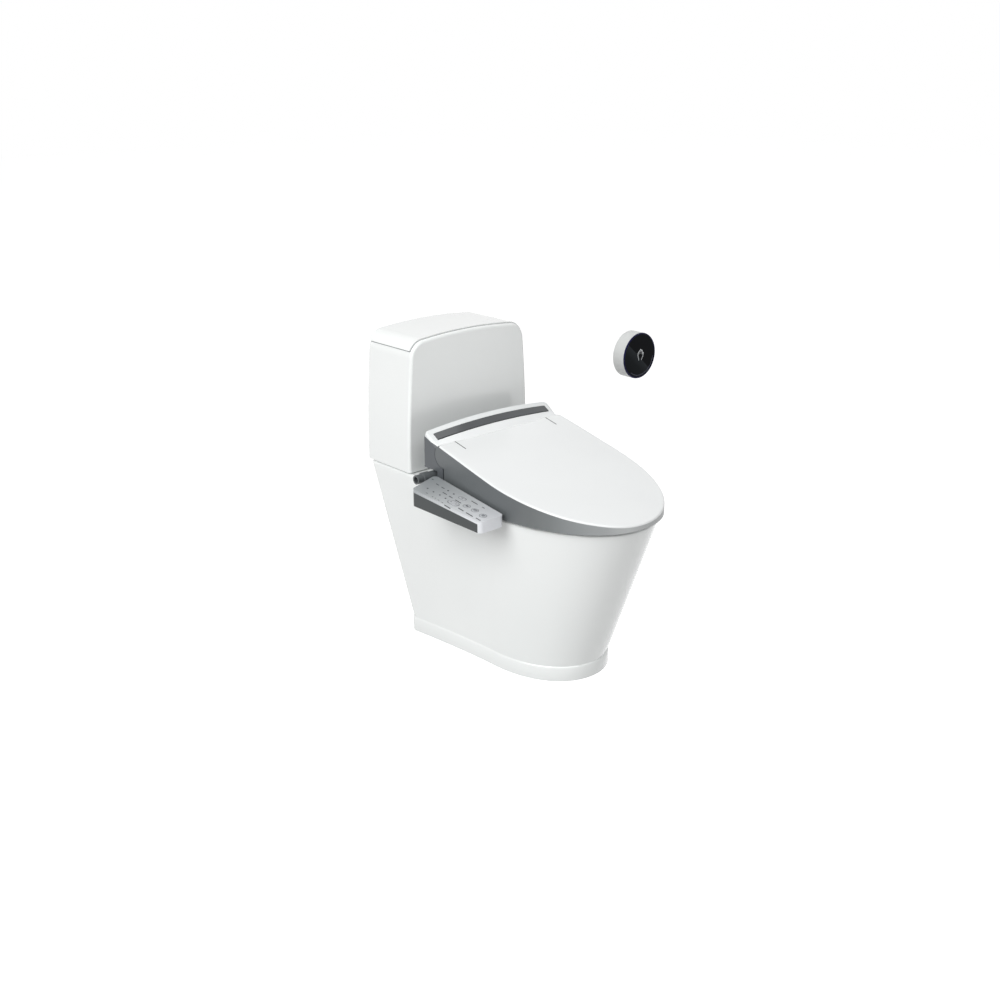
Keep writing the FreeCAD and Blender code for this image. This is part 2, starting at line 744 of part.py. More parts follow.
mounting_bolts = body("seat_mounting_bolts")
shafts = circles(mounting_bolts, "XY_Plane", "rim_top - deck_thick - 20", bolt_holes)
pad(mounting_bolts, shafts, "deck_thick + 20 + housing_low - rim_top")
nuts = [(across, along, "seat_bolt_round + 9") for across, along, radius in bolt_holes]
pad(mounting_bolts, circles(mounting_bolts, "XY_Plane", "rim_top - deck_thick - 12", nuts), 12)

half = size("housing_half")
axis_y = size("hinge_depth")
axis_z = size("hinge_high")
swing = size("knuckle") + size("knuckle_gap")


def housing_section(across, inset, end_inset=0.0):
    # side view at one distance from the centre plane
    # upright back, sloping top and a round hinge recess
    share = (across / half) ** 2
    peak = size("housing_peak") - size("housing_crown") * share - inset - end_inset
    mouth = size("lid_rear_top") - 4 * share - inset - end_inset
    rear = size("housing_rear") - inset - end_inset
    base = size("housing_low") + inset
    recess = swing + inset
    forward = math.sqrt(recess ** 2 - (mouth - axis_z) ** 2)

    def at(along, high):
        return Vector(across, along, high)

    arc = Part.Arc(
        at(axis_y + forward, mouth), at(axis_y + recess, axis_z), at(axis_y, axis_z - recess)
    )
    corners = [
        at(axis_y, axis_z - recess),
        at(axis_y, base),
        at(rear, base),
        at(rear, peak - 8),
        at(rear - 5, peak),
        at(axis_y + forward, mouth),
    ]
    lines = [Part.LineSegment(first, second).toShape() for first, second in zip(corners, corners[1:])]
    return Part.Wire([arc.toShape()] + lines)


def housing_solid(inset):
    reach = half - 6 - inset
    stations = [reach * share for share in (-1, -0.5, 0, 0.5, 1)]
    shape = Part.makeLoft([housing_section(station, inset) for station in stations], True, False)
    if inset > 0:
        return shape
    for side in (-1, 1):
        pair = [housing_section(side * reach, 0), housing_section(side * half, 0, 4.5)]
        shape = shape.fuse(Part.makeLoft(pair, True, True))
    return shape


def cover_space():
    # everything above the slanting joint between chassis and top cover
    behind = size("housing_rear") + 17
    low_rear = size("housing_peak") - 10
    low_fore = low_rear - 0.414 * (behind - axis_y + 5)
    top = size("housing_peak") + 60
    corners = [(behind, low_rear), (axis_y - 5, low_fore), (axis_y - 5, top), (behind, top)]
    return side_prism(corners, half + 20)


housing_outside = housing_solid(0)
housing_inside = housing_solid(size("housing_wall"))
window_skin = housing_solid(0.5)
window_floor = housing_solid(size("housing_wall") - 0.4)
over_chassis = cover_space()
cover_shell = housing_outside.common(over_chassis).cut(housing_inside)
window_space = block(
    -size("window_half"), size("window_fore"), 480, size("window_half"), size("window_back"), 600
)
window_line = size("window_fore") - 0.4
behind_window = block(-300, window_line, 400, 300, 200, 700)


def nozzle_way(distance, across=0.0, lift=0.0):
    # a point on the nozzle axis, measured back from the stowed tip
    tilt = math.radians(size("nozzle_tilt"))
    along = -size("nozzle_tip_depth") + distance * math.cos(tilt) - lift * math.sin(tilt)
    high = size("nozzle_tip_high") + distance * math.sin(tilt) + lift * math.cos(tilt)
    return Vector(across, along, high)


def slanted_block(low_x, high_x, start, end, below, above):
    corners = [nozzle_way(start, 0, -below), nozzle_way(end, 0, -below)]
    corners += [nozzle_way(end, 0, above), nozzle_way(start, 0, above)]
    wire = Part.makePolygon([Vector(low_x, corner.y, corner.z) for corner in corners + corners[:1]])
    return prism(wire, Vector(high_x - low_x, 0, 0))


def duct_box(grow):
    low_z = size("housing_low") + size("housing_wall") + 3 - grow
    return block(
        size("duct_near") - grow, -size("duct_front"), low_z,
        size("duct_far") + grow, 46, low_z + size("duct_tall") + 2 * grow,
    )


def housing_chassis():
    shape = housing_outside.cut(over_chassis).cut(housing_inside)
    # hood over the nozzles, open towards the basin
    hood = slanted_block(-30, 30, 4, 90, 6.5, 15).cut(block(-60, axis_y + 2, 0, 60, 200, 600))
    shape = shape.fuse(hood)
    shape = shape.cut(slanted_block(-26.4, 26.4, -20, 150, 12.4, 12.2))
    shape = shape.cut(duct_box(2.2))
    # corner notch behind the control arm, where the inlet comes out
    base = size("housing_low")
    notch_end = -half + 42
    notch_top = size("inlet_high") + 14
    back = size("housing_rear") - 1
    skin = size("housing_wall")
    notch = block(-half - 5, 24, base - 50, notch_end, 100, notch_top)
    end_wall = block(notch_end, 24, base, notch_end + skin, back, notch_top)
    ceiling = block(2 - half, 24, notch_top, notch_end + skin, back, notch_top + skin)
    front_wall = block(2 - half, 24 - skin, base, notch_end + skin, 24, notch_top + skin)
    shape = shape.cut(notch).fuse([end_wall, ceiling, front_wall])
    inlet = Vector(notch_end - 5, size("inlet_depth"), size("inlet_high"))
    shape = shape.cut(rod(size("thread_round") + 1.2, inlet, inlet + Vector(15, 0, 0)))
    # hinge lugs hang below the axis, clear of the lid's swing
    for side in (-1, 1):
        near = side * size("lug_near")
        far = side * (size("lug_near") + size("lug_wide"))
        low_x, high_x = min(near, far), max(near, far)
        eye = rod(9, Vector(low_x, axis_y, axis_z), Vector(high_x, axis_y, axis_z))
        web = block(low_x, axis_y - 9, axis_z - 50, high_x, axis_y + 1, axis_z)
        root = block(low_x, axis_y - 9, axis_z - 50, high_x, axis_y + 4, axis_z - swing - 3)
        shape = shape.fuse([eye, web, root])
        hole_start = Vector(low_x - 1, axis_y, axis_z)
        hole_end = Vector(high_x + 1, axis_y, axis_z)
        shape = shape.cut(rod(size("pin_thick"), hole_start, hole_end))
    # holes for the two bolts
    for side in (-1, 1):
        spot = Vector(side * size("seat_bolt_gap"), size("seat_bolt_depth"), size("housing_low") - 16)
        shape = shape.cut(rod(size("seat_bolt_round") + 0.2, spot, spot + Vector(0, 0, 20)))
    return shape


solid_node("housing_chassis", housing_chassis())
solid_node("housing_top_cover", cover_shell.common(behind_window).cut(window_space))
solid_node("housing_front_trim", cover_shell.cut(behind_window))
solid_node("indicator_window", window_skin.cut(window_floor).common(window_space).common(behind_window))

# ---------------------------------------------------------------- washing seat fittings

heater = body("water_heater")
pad(heater, rectangle(heater, "XY_Plane", "housing_low + housing_wall", -117, 12, -42, 66), 52)
for along in (26, 52):
    pad(heater, circles(heater, "XY_Plane", "housing_low + housing_wall + 51", [(-104, along, 4)]), 9)

valve = body("inlet_valve")
pad(valve, rectangle(valve, "XY_Plane", "housing_low + housing_wall", -140, 26, -119, 62), 54)
pad(valve, circles(valve, "XY_Plane", "housing_low + housing_wall + 53", [(-129, 44, 8)]), 12)

connector = body("inlet_connector")
turned(connector, "XZ_Plane", [
    (0, 0), (11, 0), (11, 60), (13, 61), (13, 78), ("thread_round", 79), ("thread_round", 95),
    (7, 95), (7, 20), (0, 20),
])
connector.Placement = FreeCAD.Placement(Vector(), FreeCAD.Rotation(upward, Vector(-1, 0, 0)))
place(connector, -140, "inlet_depth", "inlet_high")

board = body("control_board")
pad(board, rectangle(board, "YZ_Plane", 164, 14, "housing_low + housing_wall", 64, 452), 1.6)
for low_v, high_v in ((404, 420), (426, 432), (436, 448)):
    pad(board, rectangle(board, "YZ_Plane", 165, 20, low_v, 40, high_v), 7)


def dryer_blower():
    side = size("blower_side")
    high = size("blower_high")
    front = Vector(side, 30, high)
    casing = rod(size("blower_round"), front, Vector(side, 62, high))
    motor_end = size("housing_rear") - size("housing_wall") - 0.5
    motor = rod(11, Vector(side, 62, high), Vector(side, motor_end, high))
    outer_duct = duct_box(1.8)
    shape = casing.fuse(outer_duct).fuse(motor)
    hollow = rod(size("blower_round") - 2, Vector(side, 32, high), Vector(side, 60, high))
    inner_duct = duct_box(0).fuse(duct_box(0).translated(Vector(0, -5, 0)))
    shape = shape.cut(hollow.fuse(inner_duct))
    shape = shape.cut(rod(14, Vector(side, 25, high), Vector(side, 40, high)))
    shape = shape.cut(rod(2 + size("pin_play"), Vector(side, 55, high), Vector(side, 66, high)))
    # two small ears carry the flap
    flap_high = duct_box(0).BoundBox.ZMax + 2
    flap_front = -size("duct_front") - 2.6
    for low_x in (size("duct_near") - 2.8, size("duct_far") + 0.8):
        ear_back = -size("duct_front") + 4
        tab = block(low_x, flap_front - 2.5, flap_high - 5, low_x + 2, ear_back, flap_high + 2.5)
        shape = shape.fuse(tab)
        hole_start = Vector(low_x - 1, flap_front, flap_high)
        shape = shape.cut(rod(1 + size("pin_play"), hole_start, hole_start + Vector(4, 0, 0)))
    return shape


solid_node("dryer_blower", dryer_blower())
flap_axis = ("-duct_front - 2.6", "housing_low + housing_wall + 3 + duct_tall + 2")
flap = body("dryer_flap")
pad(flap, circles(flap, "YZ_Plane", "duct_near - 0.4", [(0, 0, 2)]), "duct_far - duct_near + 0.8")
pad(flap, circles(flap, "YZ_Plane", "duct_near - 2.6", [(0, 0, 1)]), "duct_far - duct_near + 5.2")
plate = rectangle(flap, "YZ_Plane", "duct_near + 0.6", -1.2, "-duct_tall", 0.6, 0)
pad(flap, plate, "duct_far - duct_near - 1.2")
place(flap, 0, flap_axis[0], flap_axis[1])

fan = body("dryer_fan")
blade = rectangle(fan, "XY_Plane", 3, 6, -0.8, "fan_round", 0.8)
pad(fan, circles(fan, "XY_Plane", 2, [(0, 0, 8)]), 24)
pad(fan, circles(fan, "XY_Plane", 25, [(0, 0, 2)]), 6)
fan_blade = pad(fan, blade, 22)
polar(fan, fan_blade, 9)
fan.Placement = FreeCAD.Placement(Vector(), FreeCAD.Rotation(upward, backward))
place(fan, "blower_side", 32, "blower_high")


def nozzle_cradle():
    shape = slanted_block(-22, 22, 8, 140, 10, 10)
    base = size("housing_low") + size("housing_wall")
    leg = block(-16, 26, base, 16, 52, 462).cut(slanted_block(-40, 40, -50, 300, 8, 90))
    shape = shape.fuse(leg)
    for side in (-1, 1):
        across = side * size("nozzle_side")
        bore = size("nozzle_thick") + size("nozzle_play")
        shape = shape.cut(rod(bore, nozzle_way(0, across), nozzle_way(135, across)))
    return shape


solid_node("nozzle_cradle", nozzle_cradle())
nozzle_heading = FreeCAD.Rotation(upward, nozzle_way(1) - nozzle_way(0))
for name, side in (("rear_nozzle", "-"), ("front_nozzle", "")):
    nozzle = body(name)
    turned(nozzle, "XZ_Plane", [
        (0, 0), (4.5, 0), ("nozzle_thick", 4), ("nozzle_thick", "nozzle_long"), (3, "nozzle_long"),
        (3, 12), (0, 12),
    ])
    nozzle.Placement = FreeCAD.Placement(Vector(), nozzle_heading)
    place(nozzle, side + "nozzle_side", "-nozzle_tip_depth", "nozzle_tip_high")

pins = []
dampers = []
for name, start, damper_start in (
    ("Left", "-lug_near - pin_long", "-lug_near"),
    ("Right", "lug_near", "lug_near - damper_long"),
):
    at = (start, "hinge_depth", "hinge_high")
    pins.append(cylinder("Pin" + name, "pin_thick", "pin_long", *at, sideways))
    at = (damper_start, "hinge_depth", "hinge_high")
    dampers.append(cylinder("Damper" + name, "damper_round", "damper_long", *at, sideways))
keep("hinge_pins", fused("HingePins", pins))
keep("soft_close_dampers", fused("SoftCloseDampers", dampers))

# ---------------------------------------------------------------- lid

# side-view curves as depth and height, from the back to the front
crest_points = [
    (40, size("lid_rear_top") + 4.5), (20, size("lid_rear_top")), (-173, 466), (-330, 433.5),
    (-400, 418.5), (-445, 405),
]
seat_points = [
    (0, 480), (-28, 476), (-60, 470), (-110, 450), (-160, 435), (-340, 424), (-390, 416), (-412, 407),
    (-440, 396),
]


def under_crest(drop):
    return below_curve([(along, high - drop) for along, high in crest_points], 300, 260)


def lid_plan(inset):
    wire = plan_wire(
        20, size("lid_half_rear") - inset, -size("lid_mid"), size("lid_half_mid") - inset,
        -size("lid_front") + inset, size("lid_low"), 2.5,
    )
    return prism(wire, Vector(0, 0, 130))


def swing_room(radius):
    # forward of the hinge, or inside the knuckle that turns in the housing's recess
    knuckle = rod(radius, Vector(-300, axis_y, axis_z), Vector(300, axis_y, axis_z))
    return knuckle.fuse(block(-300, -600, 300, 300, 2, 700))


lid_outside = lid_plan(0).common(under_crest(0)).common(swing_room(size("knuckle")))
lid_underside = under_crest(size("lid_wall"))


def ear(near, radius, web_points):
    shape = None
    for side in (-1, 1):
        low_x, high_x = sorted((side * near, side * (near + size("ear_wide"))))
        eye = rod(radius, Vector(low_x, axis_y, axis_z), Vector(high_x, axis_y, axis_z))
        corners = [Vector(low_x, along, high) for along, high in web_points]
        web = prism(Part.makePolygon(corners + corners[:1]), Vector(high_x - low_x, 0, 0))
        pair = eye.fuse(web)
        shape = pair if shape is None else shape.fuse(pair)
    return shape


def pin_bores(shape):
    bore = size("pin_thick") + size("pin_play")
    return shape.cut(rod(bore, Vector(-200, axis_y, axis_z), Vector(200, axis_y, axis_z)))


lid_ear = size("lug_near") + size("lug_wide") + 1.5
seat_ear = lid_ear + size("ear_wide") + 1.5


def lid_panel():
    shape = lid_outside.cut(lid_underside)
    web = [(-15, axis_z), (12, axis_z), (14, 520), (-24, 520), (-24, 497)]
    ears = ear(lid_ear, 10, web).common(under_crest(1))
    shape = shape.fuse(pin_bores(ears))
    for side in (-1, 1):
        slit = side * 140
        shape = shape.cut(block(slit - 0.8, -18, 503, slit + 0.8, 60, 600))
    return shape


def lid_side_band():
    inner = lid_plan(size("lid_wall")).fuse(block(-179, -30, 300, 179, 60, 700))
    return lid_outside.common(lid_underside).cut(inner)


solid_node("lid_panel", lid_panel())
solid_node("lid_side_band", lid_side_band())

# ---------------------------------------------------------------- seat


def under_seat_curve(drop):
    return below_curve([(along, high - drop) for along, high in seat_points], 300, 260)


def seat_plan(inset, low_z, high_z):
    wire = plan_wire(-28 - inset, 174 - inset, -150, 180 - inset, -415 + inset, low_z, 22)
    hole_long = size("seat_hole_long") + inset
    hole_wide = size("seat_hole_wide") + inset
    hole = oval_wire(-size("seat_hole_centre"), hole_long, hole_wide, low_z - 1)
    ring = prism(wire, Vector(0, 0, high_z - low_z))
    return ring.cut(prism(hole, Vector(0, 0, high_z - low_z + 2)))


bridge_half = size("duct_far") + 7
bridge_front = -size("duct_front") - 52


def seat_rear_room(top):
    # the space behind the opening that holds the nozzle hood and the dryer duct
    return block(-bridge_half, bridge_front, 380, bridge_half, 0, top)


def seat_top():
    outside = seat_plan(0, size("seat_split"), 520).common(under_seat_curve(0))
    inside = seat_plan(3, size("seat_split"), 520).common(under_seat_curve(3))
    web = [(-36, 458), (6, axis_z - 9), (5, axis_z + 9), (-4, axis_z + 8), (-36, 474)]
    shell = outside.cut(inside).cut(seat_rear_room(520))
    # walls close the shell towards the rear room
    for side in (-1, 1):
        low_x, high_x = sorted((side * bridge_half, side * (bridge_half + 3)))
        shell = shell.fuse(outside.common(block(low_x, bridge_front - 3, 380, high_x, 0, 520)))
    return shell.fuse(pin_bores(ear(seat_ear, 9, web)))


def seat_bridge():
    skin = seat_plan(0, size("seat_split"), 520).common(under_seat_curve(0)).cut(under_seat_curve(3))
    return skin.common(seat_rear_room(520))


def seat_heater():
    sheet = seat_plan(6, size("seat_split"), 520).common(under_seat_curve(3.1))
    sheet = sheet.cut(under_seat_curve(3.1 + size("heater_thick")))
    room = block(-300, -500, size("seat_split") + 1, 300, -125, 600)
    return sheet.common(room)


solid_node("seat_top", seat_top())
solid_node("seat_bridge", seat_bridge())
solid_node("seat_base", seat_plan(0, size("seat_low"), size("seat_split")).cut(seat_rear_room(520)))
solid_node("seat_heater", seat_heater())

bumper_spots = [(-140, -120, 9), (140, -120, 9), (-131, -300, 8), (131, -300, 8)]
seat_bumpers = body("seat_bumpers")
bumper_rounds = circles(seat_bumpers, "XY_Plane", "rim_top + rest_gap", bumper_spots)
pad(seat_bumpers, bumper_rounds, "seat_low - rim_top - rest_gap")


def lid_bumpers():
    shape = block(-140, -316, 400, -126, -306, 500).fuse(block(126, -316, 400, 140, -306, 500))
    return shape.common(lid_underside).cut(under_seat_curve(-0.4))


solid_node("lid_bumpers", lid_bumpers())

# ---------------------------------------------------------------- control arm

arm_tilt = math.degrees(math.atan(size("arm_slope")))
arm_frame = FreeCAD.Rotation(sideways, arm_tilt)


def arm_height(along):
    return size("arm_top") + size("arm_slope") * along


def arm_outline(inset, low_z, high_z):
    near = -size("arm_near") - inset
    rear = size("arm_back") - inset
    front = -size("arm_front") + inset
    corners = [
        Vector(near, rear, low_z),
        Vector(near, front, low_z),
        Vector(-size("arm_far_fore") + inset, front, low_z),
        Vector(-size("arm_far_rear") + inset, rear - size("arm_skew"), low_z),
    ]
    shape = prism(Part.makePolygon(corners + corners[:1]), Vector(0, 0, high_z - low_z))
    upright = [edge for edge in shape.Edges if edge.BoundBox.ZLength > high_z - low_z - 1]
    return shape.makeFillet(9 - inset, upright)


def arm_layer(top_drop, low_lift):
    # space between two sloping planes
    near, far = 60, -300
    low = size("arm_low")
    fall = size("arm_low_slope")
    return side_prism([
        (near, arm_height(near) - top_drop), (far, arm_height(far) - top_drop),
        (far, low + fall * far + low_lift), (near, low + fall * near + low_lift),
    ], 340)


key_places = {
    "key_rear_wash": (-238, -134, 6),
    "key_front_wash": (-236, -158, 6),
    "key_dryer": (-238, -186, 6),
}
rocker_place = (-253, -108)
stop_place = (-222, -101)
light_places = [(-255, -24), (-255, -44), (-253, -63), (-253, -82), (-224, -56), (-224, -75)]


def on_arm(across, along, shape):
    # carries a shape drawn round the origin onto the arm's sloping top
    spot = FreeCAD.Placement(Vector(across, along, arm_height(along)), arm_frame)
    return shape.transformed(spot.toMatrix())


def slot_prism(half_wide, half_long, low_z, high_z):
    # rounded bar along Y
    straight = half_long - half_wide
    middle = block(-half_wide, -straight, low_z, half_wide, straight, high_z)
    ends = [rod(half_wide, Vector(0, end, low_z), Vector(0, end, high_z)) for end in (-straight, straight)]
    return middle.fuse(ends)


arm_wall = size("arm_wall")
arm_outside = arm_outline(0, 340, 520).common(arm_layer(0, 0))
arm_inside = arm_outline(arm_wall, 340, 520).common(arm_layer(arm_wall, arm_wall))
arm_shell = arm_outside.cut(arm_inside)
cover_room = arm_layer(-1, 0).cut(arm_layer(size("arm_cover"), -60))
cover_room = cover_room.fuse(block(-320, -250, 340, -150, -size("arm_front") + 8, 520))


def arm_cover():
    shape = arm_shell.common(cover_room)
    play = size("key_play")
    for across, along, radius in key_places.values():
        shape = shape.cut(on_arm(across, along, rod(radius + play, Vector(0, 0, -10), Vector(0, 0, 5))))
    shape = shape.cut(on_arm(*rocker_place, slot_prism(6.5 + play, 13 + 2 * play, -8, 5)))
    shape = shape.cut(on_arm(*stop_place, slot_prism(3.5 + play, 8 + play, -10, 5)))
    for across, along in light_places:
        shape = shape.cut(on_arm(across, along, rod(1.6, Vector(0, 0, -4), Vector(0, 0, 4))))
    return shape


def arm_body():
    shape = arm_shell.cut(cover_room)
    neck_end = -half
    neck = block(-size("arm_near") - 4, axis_y + 1, 409, neck_end, size("arm_back") - 2, 436)
    return shape.fuse(neck.cut(arm_inside))


solid_node("arm_cover", arm_cover())
solid_node("arm_body", arm_body())
board_space = arm_outline(arm_wall, 340, 520).common(arm_layer(4.5, -60)).cut(arm_layer(6.1, -60))
arm_board = board_space.common(block(-400, -size("arm_front") + 9, 300, -100, 60, 600))
solid_node("arm_board", arm_board)

for name, (across, along, radius) in key_places.items():
    key = body(name)
    pad(key, circles(key, "XY_Plane", -3.6, [(0, 0, radius)]), "3.6 + key_proud")
    key.Placement = FreeCAD.Placement(Vector(), arm_frame)
    place(key, across, along, arm_height(along))


def slot_key(name, spot, half_wide, half_long, sunk):
    key = body(name)
    straight = half_long - half_wide
    middle = rectangle(key, "XY_Plane", -sunk, -half_wide, -straight, half_wide, straight)
    pad(key, middle, "%s + key_proud" % sunk)
    for end in (-straight, straight):
        pad(key, circles(key, "XY_Plane", -sunk, [(0, end, half_wide)]), "%s + key_proud" % sunk)
    key.Placement = FreeCAD.Placement(Vector(), arm_frame)
    place(key, spot[0], spot[1], arm_height(spot[1]))


slot_key("key_stop", stop_place, 3.5, 8, 3.6)
slot_key("rocker_key", rocker_place, 6.5, 13, 3.0)
rocker = nodes["rocker_key"]
# a half-round rib under the rocker is its tilting axis
pad(rocker, circles(rocker, "YZ_Plane", -4, [(0, -3.0, 1.4)]), 8)

lights = body("status_lights")
stretch = 1 / math.cos(math.radians(arm_tilt))
light_rounds = [(across, round(along * stretch, 4), 1.6) for across, along in light_places]
pad(lights, circles(lights, "XY_Plane", -2.5, light_rounds), 2.8)
lights.Placement = FreeCAD.Placement(Vector(), arm_frame)
place(lights, 0, 0, "arm_top")

# ---------------------------------------------------------------- wall sensor

face = "rough_in - sensor_deep"
wall_plate = body("sensor_wall_plate")
turned(wall_plate, "XY_Plane", [(0, "rough_in - 4"), (56, "rough_in - 4"), (56, "rough_in"), (0, "rough_in")])
cup = body("sensor_housing")
turned(cup, "XY_Plane", [
    ("sensor_round - 3", face + " + 3"), ("sensor_round", face + " + 3"), ("sensor_round", "rough_in - 4"),
    (50, "rough_in - 4"), (50, "rough_in - 7"), ("sensor_round - 3", "rough_in - 7"),
])
ring = body("sensor_light_ring")
turned(ring, "XY_Plane", [
    ("sensor_round - 4", face + " + 0.4"), ("sensor_round - 0.8", face + " + 0.4"),
    ("sensor_round - 0.4", face + " + 3"), ("sensor_round - 4", face + " + 3"),
])
glass = body("sensor_glass")
turned(glass, "XY_Plane", [
    (0, face), ("sensor_round - 5", face), ("sensor_round - 4", face + " + 0.8"),
    ("sensor_round - 4", face + " + 3"), (0, face + " + 3"),
])
electronics = body("sensor_board")
turned(electronics, "XY_Plane", [
    (0, face + " + 3"), (9, face + " + 3"), (9, face + " + 18"), (42, face + " + 18"), (42, face + " + 20"),
    (0, face + " + 20"),
])
for item in (wall_plate, cup, ring, glass, electronics):
    place(item, "sensor_side", 0, "sensor_high")
batteries = body("sensor_batteries")
pad(batteries, rectangle(batteries, "XZ_Plane", "-(rough_in - 4)", -32, -26, 32, 26), "sensor_deep - 24")
place(batteries, "sensor_side", 0, "sensor_high")

# ---------------------------------------------------------------- check and write

doc.recompute()
failed = [item.Name for item in doc.Objects if set(item.State) & {"Invalid", "Error"}]
if failed:
    raise RuntimeError("not built: " + ", ".join(failed))
for name, item in nodes.items():
    if item.Shape.isNull() or not item.Shape.isValid():
        raise RuntimeError("bad shape: " + name)
    if item.Shape.Volume <= 0:
        raise RuntimeError("empty shape: " + name)
os.makedirs("parts", exist_ok=True)
for name, item in nodes.items():
    item.Shape.exportStep("parts/%s.step" % name)
print("%d sub-parts written" % len(nodes))
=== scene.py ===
import math

import bpy
import numpy as np
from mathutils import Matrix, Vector


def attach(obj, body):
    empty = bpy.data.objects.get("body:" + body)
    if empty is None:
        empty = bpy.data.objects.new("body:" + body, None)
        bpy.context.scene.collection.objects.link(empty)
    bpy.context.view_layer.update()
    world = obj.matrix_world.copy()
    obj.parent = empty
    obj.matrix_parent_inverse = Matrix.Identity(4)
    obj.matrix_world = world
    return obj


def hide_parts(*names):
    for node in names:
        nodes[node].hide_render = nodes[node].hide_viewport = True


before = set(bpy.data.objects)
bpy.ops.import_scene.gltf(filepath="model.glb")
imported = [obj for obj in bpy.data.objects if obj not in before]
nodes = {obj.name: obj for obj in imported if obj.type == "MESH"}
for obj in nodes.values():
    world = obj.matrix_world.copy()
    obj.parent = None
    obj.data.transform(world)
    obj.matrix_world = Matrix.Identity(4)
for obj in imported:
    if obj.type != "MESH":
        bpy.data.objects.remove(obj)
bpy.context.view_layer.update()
millimetre = 0.001

# camera at the photo's angle, pale floor and three soft lamps

cameraLook = {
    "place": (-1.8211, -1.9929, 1.3408),
    "aim": (0.0945, 0.1295, 0.2845),
    "focalPixels": 1233.0,
    "imageSide": 1000.0,
    "sensorWidth": 36.0,
}


def makeCamera():
    camera = bpy.data.cameras.new("viewCamera")
    camera.sensor_width = cameraLook["sensorWidth"]
    camera.lens = cameraLook["focalPixels"] / cameraLook["imageSide"] * cameraLook["sensorWidth"]
    holder = bpy.data.objects.new("viewCamera", camera)
    holder.location = cameraLook["place"]
    heading = Vector(cameraLook["aim"]) - Vector(cameraLook["place"])
    holder.rotation_euler = heading.to_track_quat("-Z", "Y").to_euler()
    bpy.context.scene.collection.objects.link(holder)
    bpy.context.scene.camera = holder


stageLook = {
    "floorReach": 14.0,
    "floorColour": (0.55, 0.55, 0.55, 1),
    "floorGlow": 0.85,  # what the camera sees on top of the light that falls on the floor
    "worldFill": 0.27,  # strength of the white sky that the object itself is lit by
    "lamps": [
        # name, place, aim, width, height, watts
        ("keyPanel", (-3.3, -0.9, 2.8), (0, 0, 0.35), 2.6, 2.6, 119.0),
        ("frontPanel", (-0.8, -2.7, 3.3), (0, 0.1, 0.5), 2.4, 1.8, 37.0),
        ("topPanel", (0.2, 0.2, 3.4), (0, 0, 0.3), 2.4, 2.4, 12.0),
    ],
}


def lightPathMix(tree, seen, unseen):
    # camera, mirror and glass rays see the first shader, all other light the second
    path = tree.nodes.new("ShaderNodeLightPath")
    first = tree.nodes.new("ShaderNodeMath")
    first.operation = "MAXIMUM"
    tree.links.new(path.outputs["Is Camera Ray"], first.inputs[0])
    tree.links.new(path.outputs["Is Glossy Ray"], first.inputs[1])
    second = tree.nodes.new("ShaderNodeMath")
    second.operation = "MAXIMUM"
    tree.links.new(first.outputs[0], second.inputs[0])
    tree.links.new(path.outputs["Is Transmission Ray"], second.inputs[1])
    mix = tree.nodes.new("ShaderNodeMixShader")
    tree.links.new(second.outputs[0], mix.inputs["Fac"])
    tree.links.new(unseen, mix.inputs[1])
    tree.links.new(seen, mix.inputs[2])
    return mix.outputs[0]


def makeStage():
    reach = stageLook["floorReach"]
    mesh = bpy.data.meshes.new("studioFloor")
    corners = [(-reach, -reach, 0), (reach, -reach, 0), (reach, reach, 0), (-reach, reach, 0)]
    mesh.from_pydata(corners, [], [(0, 1, 2, 3)])
    floor = bpy.data.objects.new("studioFloor", mesh)
    bpy.context.scene.collection.objects.link(floor)
    material = bpy.data.materials.new("studioWhite")
    material.use_nodes = True
    tree = material.node_tree
    tree.nodes.clear()
    paint = tree.nodes.new("ShaderNodeBsdfDiffuse")
    paint.inputs["Color"].default_value = stageLook["floorColour"]
    glow = tree.nodes.new("ShaderNodeEmission")
    glow.inputs["Strength"].default_value = stageLook["floorGlow"]
    both = tree.nodes.new("ShaderNodeAddShader")
    tree.links.new(paint.outputs[0], both.inputs[0])
    tree.links.new(glow.outputs[0], both.inputs[1])
    out = tree.nodes.new("ShaderNodeOutputMaterial")
    tree.links.new(lightPathMix(tree, both.outputs[0], paint.outputs[0]), out.inputs["Surface"])
    mesh.materials.append(material)

    world = bpy.data.worlds.new("studioWorld")
    bpy.context.scene.world = world
    world.use_nodes = True
    tree = world.node_tree
    tree.nodes.clear()
    white = tree.nodes.new("ShaderNodeBackground")
    white.inputs["Color"].default_value = (1, 1, 1, 1)
    white.inputs["Strength"].default_value = 1.0
    fill = tree.nodes.new("ShaderNodeBackground")
    fill.inputs["Color"].default_value = (1, 1, 1, 1)
    fill.inputs["Strength"].default_value = stageLook["worldFill"]
    out = tree.nodes.new("ShaderNodeOutputWorld")
    tree.links.new(lightPathMix(tree, white.outputs[0], fill.outputs[0]), out.inputs["Surface"])

    for name, place, aim, width, height, power in stageLook["lamps"]:
        lamp = bpy.data.lights.new(name, "AREA")
        lamp.shape = "RECTANGLE"
        lamp.size = width
        lamp.size_y = height
        lamp.energy = power
        holder = bpy.data.objects.new(name, lamp)
        holder.location = place
        heading = Vector(aim) - Vector(place)
        holder.rotation_euler = heading.to_track_quat("-Z", "Y").to_euler()
        bpy.context.scene.collection.objects.link(holder)
    bpy.context.scene.view_settings.view_transform = "Standard"


makeCamera()
makeStage()
print("stage and camera ready")


def paletteNode(tree, stops, factor):
    # a colour ramp with a stop for each place and colour
    ramp = tree.nodes.new("ShaderNodeValToRGB")
    band = ramp.color_ramp
    while len(band.elements) < len(stops):
        band.elements.new(0.5)
    for element, (spot, colour) in zip(band.elements, stops):
        element.position = spot
        element.color = (*colour, 1)
    tree.links.new(factor, ramp.inputs["Fac"])
    return ramp.outputs["Color"]


